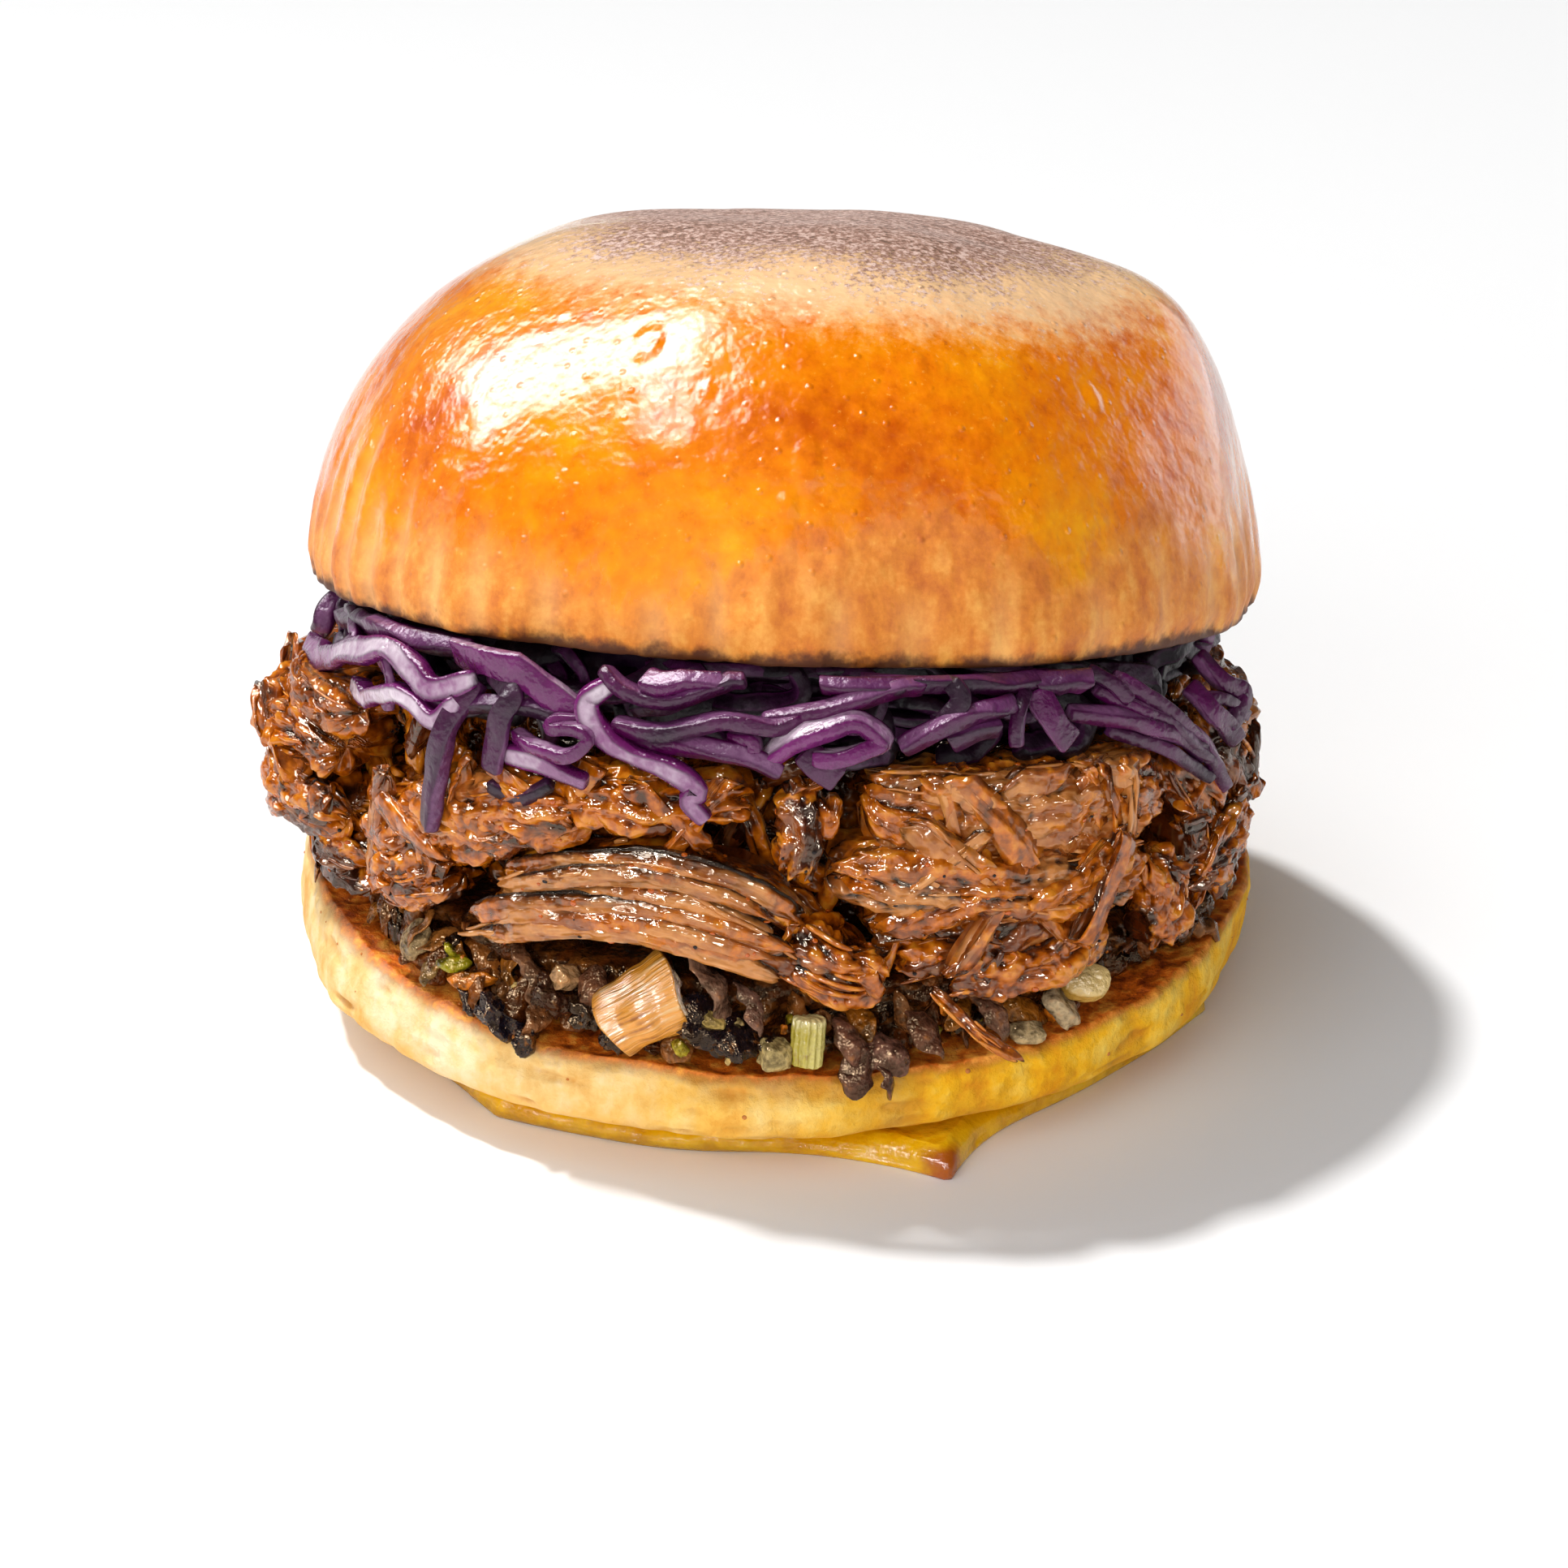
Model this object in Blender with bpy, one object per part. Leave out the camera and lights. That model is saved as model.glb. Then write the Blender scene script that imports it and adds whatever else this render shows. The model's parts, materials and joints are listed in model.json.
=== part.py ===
"""Pulled-lamb burger: a toasted brioche bun, relish, pulled lamb and red-cabbage slaw on a cheese slice.

Metres, +Z up. The origin is on the floor under the middle of the burger, whose open front faces -Y.
Sizes below are millimetres and bearings are degrees anticlockwise from +X, so -90 is the front.
"""
import math
import random

import bmesh
import bpy
from mathutils import Matrix, Vector, noise

MM = 0.001
GAP = 0.3                      # left between two solids that touch
PIECE_GAP = 0.5                # the same for a heap's pieces, so that none is flush with its core
WELD = 0.002                   # fusing leaves slivers narrower than this, which are closed up
SEED = 11
MIDDLE = Vector((1.4, 1.1, 0.0))   # from the bun's axis to the middle of the burger's box

# Lid of the bun: a low dome that leans back on the filling.
LID_RADIUS = 55.0
LID_EDGE_RADIUS = 54.4
LID_WAIST = 3.0                # height of the widest line above the cut face
LID_DOME = 40.0                # height of the dome above its widest line
LID_SHOULDER = (3.0, 1.73)     # exponents of the dome's section, across and up
LID_CENTRE = Vector((0.0, 1.1, 47.6))
LID_LEAN = 12.6
LID_ROLL = 2.4

# Heel of the bun: flat below, cut on a slope above.
HEEL_BASE_Z = 3.3
HEEL_RIM_Z = 17.4
HEEL_BASE_RADIUS = 45.0
HEEL_BULGE_RADIUS = 56.6
HEEL_RIM_RADIUS = 55.6
HEEL_BULGE_AT = 0.55           # share of the heel's height where it is widest
HEEL_PITCH = 4.1
HEEL_ROLL = 0.9
HEEL_SHIFT = 1.8               # how far the base sits to the left of the rim

# Melted slice under the heel.
CHEESE_THICKNESS = 3.0
CHEESE_RADIUS = 48.8
CHEESE_LIP = 3.25
# (bearing, reach past the plain radius, spread in degrees) of each corner of the slice
CHEESE_CORNERS = ((-71.5, 9.0, 7.0), (-18.0, 4.0, 9.0), (52.0, 5.5, 10.0), (130.0, 6.0, 9.0), (-128.0, 3.4, 14.0))

# Levels of the filling: 0 on the heel's cut face, 1 on the lid's.
RELISH_TOP = 0.20
LAMB_TOP = 0.76
RELISH_CORE_RADIUS = 49.5
LAMB_CORE_RADIUS = 50.0
SLAW_CORE_RADIUS = 48.5
OVERHANG_RADIUS = 52.0         # outside this, lamb may hang below its own layer
DRAPE_RADIUS = 55.0            # outside this, shreds may hang in front of the lamb

RELISH_REACH = 55.6

# Bays that the relish leaves for the vegetable pieces: piece, bearing, half width in degrees, inner radius.
VEGETABLE_BAYS = (
    ("browned_leek", -104.0, 8.5, 47.5),
    ("stalk_slice", -87.0, 6.0, 49.5),
    ("garlic_slice", -52.5, 7.5, 49.5),
)

ROUND_SIDES = 52

# Chunks of lamb at the open front: points along each as (bearing, height, radius), width, depth.
LAMB_CHUNKS = (
    (((-81, 45.2, 50.5), (-66, 43.5, 52.5), (-52, 40.8, 52.5), (-40, 36.5, 51.5)), 10.5, 8.0),
    (((-85, 36.6, 52.0), (-70, 34.6, 54.0), (-56, 31.8, 54.0), (-43, 28.8, 52.5)), 7.6, 8.0),
    (((-80, 29.8, 50.5), (-68, 28.8, 51.5), (-57, 27.6, 51.0)), 6.0, 7.0),
    (((-77, 25.0, 52.5), (-66, 27.0, 53.5), (-53, 29.0, 53.0)), 4.6, 5.0),
    (((-71, 23.0, 54.0), (-61, 23.0, 55.0), (-50, 25.2, 54.0)), 5.0, 4.0),
    (((-73, 23.0, 54.5), (-67, 18.0, 58.9), (-61, 12.6, 59.4)), 2.2, 1.6),
    (((-42, 31.0, 53.5), (-40.5, 25.0, 55.2), (-40, 19.5, 55.6)), 5.6, 4.0),
    (((-36, 41.0, 51.5), (-33, 33.0, 54.0), (-31, 26.0, 54.4)), 6.4, 5.0),
    (((-27, 41.0, 50.0), (-21, 34.0, 53.5), (-17, 28.0, 54.0)), 8.5, 6.0),
    (((-126, 29.5, 51.5), (-114, 35.0, 53.8), (-103, 36.8, 54.6), (-94, 34.6, 54.6), (-87, 29.5, 53.6)), 5.0, 7.0),
    (((-129, 24.8, 52.8), (-117, 30.0, 54.6), (-105, 32.0, 55.2), (-95, 29.8, 55.2), (-86, 25.6, 54.4)), 4.8, 6.0),
    (((-151, 29.5, 50.5), (-136, 34.6, 52.5), (-122, 39.4, 53.0), (-108, 42.4, 52.5), (-94, 43.0, 51.0)), 9.5, 7.0),
    (((-147, 26.0, 52.0), (-139, 27.5, 53.8), (-131, 30.5, 52.4)), 7.0, 6.0),
    (((-166, 24.0, 52.4), (-157, 23.6, 54.6), (-148, 24.4, 52.6)), 6.4, 5.0),
    (((-88, 46.5, 50.5), (-87, 41.0, 53.4), (-89, 36.5, 53.8)), 4.6, 4.4),
    (((-90, 29.0, 52.5), (-84.5, 26.5, 55.2), (-79, 24.8, 53.8)), 6.6, 6.0),
    (((-172, 44.0, 51.0), (-161, 43.5, 54.5), (-149, 43.0, 52.5)), 5.0, 7.0),
    (((-179, 37.0, 53.0), (-167, 36.4, 56.8), (-153, 38.0, 54.0)), 7.4, 7.5),
    (((-176, 29.8, 53.0), (-165, 29.6, 56.8), (-152, 30.0, 53.5)), 7.2, 6.5),
)

# Shreds of cabbage at the front: points as (bearing, height, radius), width, quarter turns along it.
SLAW_SHREDS = (
    (((-126, 54.0, 53.5), (-128, 47.0, 57.6), (-130, 41.0, 58.2), (-130.5, 36.5, 58.4)), 3.0, 0.2),
    (((-120, 54.5, 53.0), (-121, 50.0, 56.6), (-122, 45.5, 57.6)), 3.4, 0.0),
    (((-158, 51.5, 52.0), (-146, 51.0, 54.5), (-132, 51.5, 55.0), (-119, 49.5, 56.0), (-113, 47.8, 56.6)), 2.2, 0.6),
    (((-108, 54.5, 52.5), (-113, 51.0, 55.5), (-108, 47.6, 57.0), (-101, 46.0, 57.4), (-98, 43.2, 57.8)), 3.2, 0.8),
    (((-109, 50.5, 54.0), (-100, 51.0, 55.5), (-92, 49.5, 56.4), (-87, 47.8, 56.8)), 2.4, -0.5),
    (((-106, 53.5, 52.5), (-95, 53.5, 54.5), (-83, 54.5, 55.0), (-73, 55.5, 53.5)), 2.4, 0.5),
    (((-88, 49.0, 54.0), (-83, 49.8, 56.6), (-78, 50.5, 56.0), (-74, 52.5, 53.5)), 4.2, 0.3),
    (((-75, 50.2, 54.6), (-67, 52.0, 55.0), (-60, 54.0, 53.0)), 2.6, 0.4),
    (((-63, 55.5, 52.5), (-60, 52.5, 55.0), (-58, 50.0, 55.6)), 3.2, 0.0),
    (((-68, 56.5, 51.5), (-55, 54.0, 54.5), (-42, 50.0, 55.4), (-32, 45.5, 55.8), (-27, 43.0, 56.0)), 2.4, 0.7),
    (((-52, 56.0, 51.0), (-40, 52.5, 53.6), (-28, 48.0, 54.0), (-19, 44.5, 53.0)), 2.2, -0.4),
    (((-45, 48.0, 54.6), (-35, 47.5, 55.6), (-25, 45.5, 55.8)), 2.0, 0.5),
    (((-140, 56.0, 51.5), (-128, 55.5, 53.5), (-115, 56.0, 53.5), (-104, 57.0, 52.5)), 3.0, 0.5),
    (((-98, 57.0, 52.0), (-86, 56.5, 54.0), (-74, 57.0, 53.0)), 2.4, 0.4),
    (((-166, 50.0, 51.5), (-157, 47.5, 54.5), (-149, 47.5, 55.2)), 2.2, 0.4),
    (((-154, 54.0, 50.5), (-143, 53.5, 53.0), (-134, 52.8, 54.0)), 2.6, -0.5),
)


def polar(bearing, height, radius):
    """A point from its bearing in degrees, its height and its distance from the bun's axis."""
    angle = math.radians(bearing)
    return Vector((radius * math.cos(angle), radius * math.sin(angle), height))


def heel_z(x, y):
    """Height of the heel's cut face at x, y."""
    return HEEL_RIM_Z - x * math.tan(math.radians(HEEL_ROLL)) + y * math.tan(math.radians(HEEL_PITCH))


def lid_z(x, y):
    """Height of the lid's cut face at x, y."""
    back = (y - LID_CENTRE.y) * math.tan(math.radians(LID_LEAN))
    return LID_CENTRE.z - back - x * math.tan(math.radians(LID_ROLL))


def level_z(level, x, y):
    """Height at x, y of a level of the filling, from 0 on the heel's cut face to 1 on the lid's."""
    return heel_z(x, y) + level * (lid_z(x, y) - heel_z(x, y))


def settle(ring, low, high, free_radius=1000.0):
    """The cross-section moved up or down into its layer; outside free_radius it may hang below it."""
    above = max(point.z - level_z(high, point.x, point.y) + PIECE_GAP for point in ring)
    below = max(level_z(low, point.x, point.y) + PIECE_GAP - point.z for point in ring)
    middle = sum(ring, Vector()) / len(ring)
    free = math.hypot(middle.x, middle.y) > free_radius
    if above > 0 or (below > 0 and not free):
        lift = -above if above > 0 else below
        squeezed = above + below > 0 and not free
        band = level_z(high, middle.x, middle.y) - level_z(low, middle.x, middle.y) - 2 * PIECE_GAP
        tall = max(point.z for point in ring) - min(point.z for point in ring)
        keep = 0.92 * band / (tall + 1e-6) if squeezed else 1.0
        if squeezed:
            lift = level_z((low + high) / 2, middle.x, middle.y) - middle.z
        return [Vector((point.x, point.y, middle.z + lift + keep * (point.z - middle.z))) for point in ring]
    return ring


def wave(bearing, turns, phase, height):
    """A ripple round the burger with a whole number of turns."""
    return height * math.sin(turns * math.radians(bearing) + phase)


def apart(bearing, other):
    """Degrees between two bearings, the short way round."""
    return abs((bearing - other + 180.0) % 360.0 - 180.0)


def material(name, colour, roughness):
    """A plain material of the part's own colour."""
    made = bpy.data.materials.new(name)
    made.use_nodes = True
    shader = made.node_tree.nodes["Principled BSDF"]
    shader.inputs["Base Color"].default_value = (*colour, 1.0)
    shader.inputs["Roughness"].default_value = roughness
    return made


def solid(name, points, faces, finish):
    """An object whose mesh is the closed shape given in millimetres."""
    mesh = bpy.data.meshes.new(name)
    mesh.from_pydata([tuple((point + MIDDLE) * MM) for point in points], [], faces)
    mesh.materials.append(finish)
    made = bpy.data.objects.new(name, mesh)
    bpy.context.scene.collection.objects.link(made)
    return made


def stack(rings, bottom, top):
    """Points and faces of a closed shape through rings, lowest first, shut by a fan at each end."""
    count = len(rings[0])
    points = [point for ring in rings for point in ring] + [bottom, top]
    low_pole, high_pole = len(points) - 2, len(points) - 1
    last = (len(rings) - 1) * count
    faces = []
    for here in range(count):
        after = (here + 1) % count
        faces.append((low_pole, after, here))
        faces.append((high_pole, last + here, last + after))
        for row in range(0, last, count):
            faces.append((row + here, row + after, row + count + after))
            faces.append((row + here, row + count + after, row + count + here))
    return points, faces


def bearings(count):
    """Evenly spaced bearings round the burger."""
    return [360.0 * step / count for step in range(count)]


def lid_relief(bearing, rise):
    """Unevenness of the lid's crust: upright folds low on its sides, fading up the dome."""
    fold = wave(bearing, 11, 0.6, 0.30) + wave(bearing, 17, 2.1, 0.26) + wave(bearing, 5, 1.0, 0.35)
    return fold * max(0.0, 1.0 - rise / 0.75)


def build_lid(finish):
    """Lid of the bun, a flattened dome that leans back, with a sharp cut edge."""
    lean = Matrix.Rotation(math.radians(-LID_LEAN), 4, "X")
    place = Matrix.Translation(LID_CENTRE) @ lean @ Matrix.Rotation(math.radians(LID_ROLL), 4, "Y")
    rings = [[polar(bearing, 0.0, LID_EDGE_RADIUS + lid_relief(bearing, 0.0)) for bearing in bearings(ROUND_SIDES)]]
    steps = 13
    for step in range(steps):
        angle = math.radians(90.0 * (step + 0.4) / steps)
        radius = LID_RADIUS * math.cos(angle) ** (2 / LID_SHOULDER[0])
        height = LID_WAIST + LID_DOME * math.sin(angle) ** (2 / LID_SHOULDER[1])
        rise = step / steps
        rings.append([polar(bearing, height, radius + lid_relief(bearing, rise)) for bearing in bearings(ROUND_SIDES)])
    points, faces = stack(rings, Vector((0, 0, 0)), Vector((0, 0, LID_WAIST + LID_DOME)))
    return solid("bun_top", [place @ point for point in points], faces, finish)


def heel_radius(rise):
    """Radius of the heel at a share of its height: a belly that rounds over at the rim."""
    if rise < HEEL_BULGE_AT:
        return HEEL_BULGE_RADIUS - (HEEL_BULGE_RADIUS - HEEL_BASE_RADIUS) * (1.0 - rise / HEEL_BULGE_AT) ** 4
    over = (rise - HEEL_BULGE_AT) / (1.0 - HEEL_BULGE_AT)
    return HEEL_BULGE_RADIUS - (HEEL_BULGE_RADIUS - HEEL_RIM_RADIUS) * over ** 2


def build_heel(finish, toast):
    """Heel of the bun, with a flat base and a sloping, toasted cut face."""
    rings = []
    for rise in (0.0, 0.04, 0.11, 0.22, 0.38, 0.58, 0.80, 0.94, 1.0):
        ring = []
        for bearing in bearings(ROUND_SIDES):
            swell = wave(bearing, 7, 0.4, 0.35) + wave(bearing, 12, 1.9, 0.22)
            flat = polar(bearing, 0.0, heel_radius(rise) + swell * math.sin(math.pi * rise))
            flat.x -= HEEL_SHIFT * (1.0 - rise)
            flat.z = HEEL_BASE_Z + rise * (heel_z(flat.x, flat.y) - HEEL_BASE_Z)
            ring.append(flat)
        rings.append(ring)
    points, faces = stack(rings, Vector((0, 0, HEEL_BASE_Z)), Vector((0, 0, HEEL_RIM_Z)))
    heel = solid("bun_bottom", points, faces, finish)
    heel.data.materials.append(toast)
    for face in heel.data.polygons:
        face.material_index = int(face.normal.z > 0.9)
    return heel


def build_cheese(finish):
    """Melted slice that the heel sits on, flat below, its corners showing round the base."""
    outline = []
    for bearing in bearings(72):
        reach = sum(size * math.exp(-apart(bearing, corner) / spread) for corner, size, spread in CHEESE_CORNERS)
        outline.append((bearing, CHEESE_RADIUS + reach + wave(bearing, 9, 0.3, 0.35) + wave(bearing, 14, 1.2, 0.2)))
    rings = [
        [polar(bearing, 0.0, radius - 0.5) for bearing, radius in outline],
        [polar(bearing, 0.8, radius) for bearing, radius in outline],
        [polar(bearing, 2.2, radius - 0.6) for bearing, radius in outline],
        [polar(bearing, CHEESE_LIP, max(radius - 3.0, 48.4)) for bearing, radius in outline],
        [polar(bearing, CHEESE_THICKNESS, 46.4) for bearing, radius in outline],
    ]
    points, faces = stack(rings, Vector((0, 0, 0)), Vector((0, 0, CHEESE_THICKNESS)))
    return solid("cheese_slice", points, faces, finish)


def smooth_path(stops, count):
    """Points along a smooth curve through the stops (Catmull-Rom)."""
    padded = [stops[0] * 2 - stops[1]] + list(stops) + [stops[-1] * 2 - stops[-2]]
    spans = len(stops) - 1
    path = []
    for step in range(count):
        along = min(step * spans / (count - 1), spans - 1e-6)
        span = int(along)
        t = along - span
        a, b, c, d = padded[span:span + 4]
        path.append(0.5 * (2 * b + (c - a) * t + (2 * a - 5 * b + 4 * c - d) * t * t
                           + (3 * b - a - 3 * c + d) * t ** 3))
    return path


def path_frames(path):
    """The point, the outward side and the upward side at each step of a path round the heap."""
    frames = []
    for step, point in enumerate(path):
        along = (path[min(step + 1, len(path) - 1)] - path[max(step - 1, 0)]).normalized()
        out = Vector((point.x, point.y, 0.0)).normalized()
        out = (out - along * out.dot(along)).normalized()
        frames.append((point, out, along.cross(out)))
    return frames


def swept(name, rings, finish):
    """A closed solid through cross-sections, turned outwards whichever way the path runs."""
    middle = [sum(ring, Vector()) / len(ring) for ring in (rings[0], rings[-1])]
    made = solid(name, *stack(rings, middle[0], middle[1]), finish)
    shape = bmesh.new()
    shape.from_mesh(made.data)
    if shape.calc_volume(signed=True) < 0:
        bmesh.ops.reverse_faces(shape, faces=shape.faces)
    shape.to_mesh(made.data)
    shape.free()
    return made


def chunk(stops, width, depth, draw, finish, fit):
    """A torn chunk of meat: a six-sided bar along its grain, thick in the middle, ragged at the ends."""
    length = sum((after - before).length for before, after in zip(stops, stops[1:]))
    count = max(4, min(7, round(length / 8.0) + 1))
    rings = []
    for step, (point, out, up) in enumerate(path_frames(smooth_path(stops, count))):
        share = step / (count - 1)
        full = 0.68 + 0.32 * math.sin(math.pi * share) ** 0.6
        ring = []
        for side in range(6):
            angle = math.radians(60.0 * side + 15.0)
            ragged = full * draw.uniform(0.82, 1.14)
            offset = up * (width / 2 * math.cos(angle)) + out * (depth / 2 * math.sin(angle))
            ring.append(point + offset * ragged)
        rings.append(fit(ring))
    return swept("chunk", rings, finish)


def shred(stops, width, turns, draw, finish, fit):
    """A shred of leaf: a flat four-sided strip that turns over along its length."""
    length = sum((after - before).length for before, after in zip(stops, stops[1:]))
    count = max(4, min(8, round(length / 5.0) + 1))
    thick = draw.uniform(1.1, 1.5)
    start = draw.uniform(-0.5, 0.5)
    rings = []
    for step, (point, out, up) in enumerate(path_frames(smooth_path(stops, count))):
        angle = start + turns * math.pi / 2 * step / (count - 1)
        across = up * math.cos(angle) + out * math.sin(angle)
        through = out * math.cos(angle) - up * math.sin(angle)
        corners = ((1, 1), (1, -1), (-1, -1), (-1, 1))
        rings.append(fit([point + across * (width / 2 * a) + through * (thick / 2 * b) for a, b in corners]))
    return swept("shred", rings, finish)


def layer_core(name, low, high, radius, finish, front=0.0, limit=lambda bearing: LID_RADIUS):
    """Core of a heap: an uneven disc between two levels of the filling, wider by front at the open side."""
    rings = []
    for share, reach in ((0.0, -1.2), (0.5, 0.0), (1.0, -1.6)):
        ring = []
        for bearing in bearings(36):
            uneven = wave(bearing, 6, 1.3 + share, 0.6) + wave(bearing, 11, 0.2 + 2 * share, 0.4)
            widen = front * min(1.0, max(0.0, 0.5 - 1.2 * math.sin(math.radians(bearing))))
            spot = polar(bearing, 0.0, min(radius + reach + uneven + widen, limit(bearing)))
            spot.z = level_z(low, spot.x, spot.y) + GAP
            top = level_z(high, spot.x, spot.y) - GAP
            spot.z += share * (top - spot.z)
            ring.append(spot)
        rings.append(ring)
    bottom = Vector((0, 0, level_z(low, 0, 0) + GAP))
    top = Vector((0, 0, level_z(high, 0, 0) - GAP))
    return solid(name, *stack(rings, bottom, top), finish)


def fuse(core, pieces, solver="EXACT"):
    """Joins the pieces to their core, then keeps the one outer skin: no loose scrap, no sealed hollow."""
    heap = bpy.data.collections.new(core.name + "_pieces")
    bpy.context.scene.collection.children.link(heap)
    for piece in pieces:
        bpy.context.scene.collection.objects.unlink(piece)
        heap.objects.link(piece)
    union = core.modifiers.new("Fuse", "BOOLEAN")
    union.operation = "UNION"
    union.operand_type = "COLLECTION"
    union.collection = heap
    union.solver = solver
    joined = bpy.data.meshes.new_from_object(core.evaluated_get(bpy.context.evaluated_depsgraph_get()))
    core.modifiers.clear()
    core.data = joined
    for piece in pieces:
        bpy.data.objects.remove(piece)
    bpy.data.collections.remove(heap)
    keep_outer_skin(joined)


def keep_outer_skin(mesh):
    """Deletes every separate shell but the one with the most faces."""
    shape = bmesh.new()
    shape.from_mesh(mesh)
    bmesh.ops.triangulate(shape, faces=shape.faces)
    bmesh.ops.remove_doubles(shape, verts=shape.verts, dist=WELD * MM)
    unseen = set(shape.faces)
    shells = []
    while unseen:
        edge_of = [unseen.pop()]
        shell = set(edge_of)
        while edge_of:
            face = edge_of.pop()
            for edge in face.edges:
                for other in edge.link_faces:
                    if other in unseen:
                        unseen.discard(other)
                        shell.add(other)
                        edge_of.append(other)
        shells.append(shell)
    largest = max(shells, key=len)
    scrap = [face for shell in shells if shell is not largest for face in shell]
    bmesh.ops.delete(shape, geom=scrap, context="FACES")
    loose = [vert for vert in shape.verts if not vert.link_faces]
    bmesh.ops.delete(shape, geom=loose, context="VERTS")
    shape.to_mesh(mesh)
    shape.free()


def build_lamb(finish):
    """Pulled lamb: a core with torn chunks all round, the front ones placed, the rest by rule."""
    draw = random.Random(SEED)

    def fit(ring):
        return settle(ring, RELISH_TOP, LAMB_TOP, OVERHANG_RADIUS)

    core = layer_core("lamb", RELISH_TOP, LAMB_TOP, LAMB_CORE_RADIUS, finish)
    pieces = []
    for stops, width, depth in LAMB_CHUNKS:
        pieces.append(chunk([polar(*stop) for stop in stops], width, depth, draw, finish, fit))
    for row, level in enumerate((0.34, 0.49, 0.64)):
        for spot in range(8):
            bearing = -4.0 + 24.0 * spot + 8.0 * row + draw.uniform(-3, 3)
            middle = polar(bearing, 0.0, 51.0)
            band = level_z(LAMB_TOP, middle.x, middle.y) - level_z(RELISH_TOP, middle.x, middle.y)
            slant = draw.uniform(-0.10, 0.10)
            half = draw.uniform(8.0, 12.0)
            stops = []
            for share in (-1.0, 0.0, 1.0):
                out = 52.2 - 2.2 * abs(share) + draw.uniform(-0.5, 0.8)
                stop = polar(bearing + share * half, 0.0, out)
                stop.z = level_z(level + slant * share, stop.x, stop.y)
                stops.append(stop)
            pieces.append(chunk(stops, 0.46 * band, draw.uniform(5.0, 7.0), draw, finish, fit))
    fuse(core, pieces)
    return core


def build_slaw(finish):
    """Red-cabbage slaw: a core with shreds tumbling out all round."""
    draw = random.Random(SEED + 1)

    def fit(ring):
        return settle(ring, LAMB_TOP, 1.0, DRAPE_RADIUS)

    core = layer_core("slaw", LAMB_TOP, 1.0, SLAW_CORE_RADIUS, finish, front=4.0)
    pieces = []
    for stops, width, turns in SLAW_SHREDS:
        pieces.append(shred([polar(*stop) for stop in stops], width, turns, draw, finish, fit))
    for spot in range(20):
        bearing = -14.0 + 11.0 * spot + draw.uniform(-4, 4)
        half = draw.uniform(7.0, 14.0)
        level = draw.uniform(0.80, 0.94)
        stops = []
        for share in (-1.0, -0.3, 0.4, 1.0):
            stop = polar(bearing + share * half, 0.0, 51.5 - 3.6 * abs(share) + draw.uniform(-1.5, 1.5))
            stop.z = level_z(level + draw.uniform(-0.05, 0.05), stop.x, stop.y)
            stops.append(stop)
        pieces.append(shred(stops, draw.uniform(1.8, 2.8), draw.uniform(-0.8, 0.8), draw, finish, fit))
    fuse(core, pieces)
    return core


def relish_reach(bearing):
    """How far out the relish's bits may lie, leaving room for the vegetable pieces at the front."""
    for _, spot, half, inner in VEGETABLE_BAYS:
        if apart(bearing, spot) < half:
            return inner
    return RELISH_REACH


def build_relish(finish):
    """Relish of browned onion and charred bits on the heel's cut face."""
    draw = random.Random(SEED + 4)

    def fit(ring):
        middle = sum(ring, Vector()) / len(ring)
        bearing = math.degrees(math.atan2(middle.y, middle.x))
        over = max(math.hypot(point.x, point.y) for point in ring) - relish_reach(bearing)
        inward = polar(bearing, 0.0, -max(0.0, over))
        return settle([point + inward for point in ring], 0.0, RELISH_TOP)

    core = layer_core("relish", 0.0, RELISH_TOP, RELISH_CORE_RADIUS, finish, limit=relish_reach)
    pieces = []
    for spot in range(26):
        bearing = 360.0 / 26 * spot + draw.uniform(-2.5, 2.5)
        half = draw.uniform(3.5, 6.0)
        level = draw.uniform(0.06, 0.13)
        stops = []
        for share in (-1.0, 0.1, 1.0):
            stop = polar(bearing + share * half, 0.0, 52.5 - 2.0 * abs(share) + draw.uniform(-0.5, 1.5))
            stop.z = level_z(level, stop.x, stop.y)
            stops.append(stop)
        band = level_z(RELISH_TOP, stops[1].x, stops[1].y) - level_z(0.0, stops[1].x, stops[1].y)
        pieces.append(chunk(stops, draw.uniform(0.45, 0.8) * band, draw.uniform(4.0, 6.5), draw, finish, fit))
    fuse(core, pieces, "MANIFOLD")
    return core


def lump(name, centre, size, turn, finish, ridges=0, bevel=0.12):
    """A cut piece of vegetable: a rounded block, or a ridged stalk, turned by three angles."""
    sides = 16 if ridges else 12
    rings = []
    for along, reach in ((-1.0, 1.0 - 2 * bevel), (-1.0 + 2 * bevel, 1.0), (0.1, 1.04), (1.0 - 2 * bevel, 0.96),
                         (1.0, 0.96 - 2 * bevel)):
        ring = []
        for side in range(sides):
            angle = 2 * math.pi * side / sides
            square = 1.0 / max(abs(math.cos(angle)), abs(math.sin(angle))) ** 0.6
            rib = 1.0 - 0.10 * (side % 2) if ridges else 1.0
            ring.append(Vector((size[0] / 2 * reach * rib * square * math.cos(angle) * 0.82,
                                size[1] / 2 * reach * rib * square * math.sin(angle) * 0.82,
                                size[2] / 2 * along)))
        rings.append(ring)
    rotation = Matrix.Rotation(turn[2], 3, "Z") @ Matrix.Rotation(turn[1], 3, "Y") @ Matrix.Rotation(turn[0], 3, "X")
    points, faces = stack(rings, Vector((0, 0, -size[2] / 2)), Vector((0, 0, size[2] / 2)))
    return solid(name, [rotation @ point + centre for point in points], faces, finish)


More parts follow.
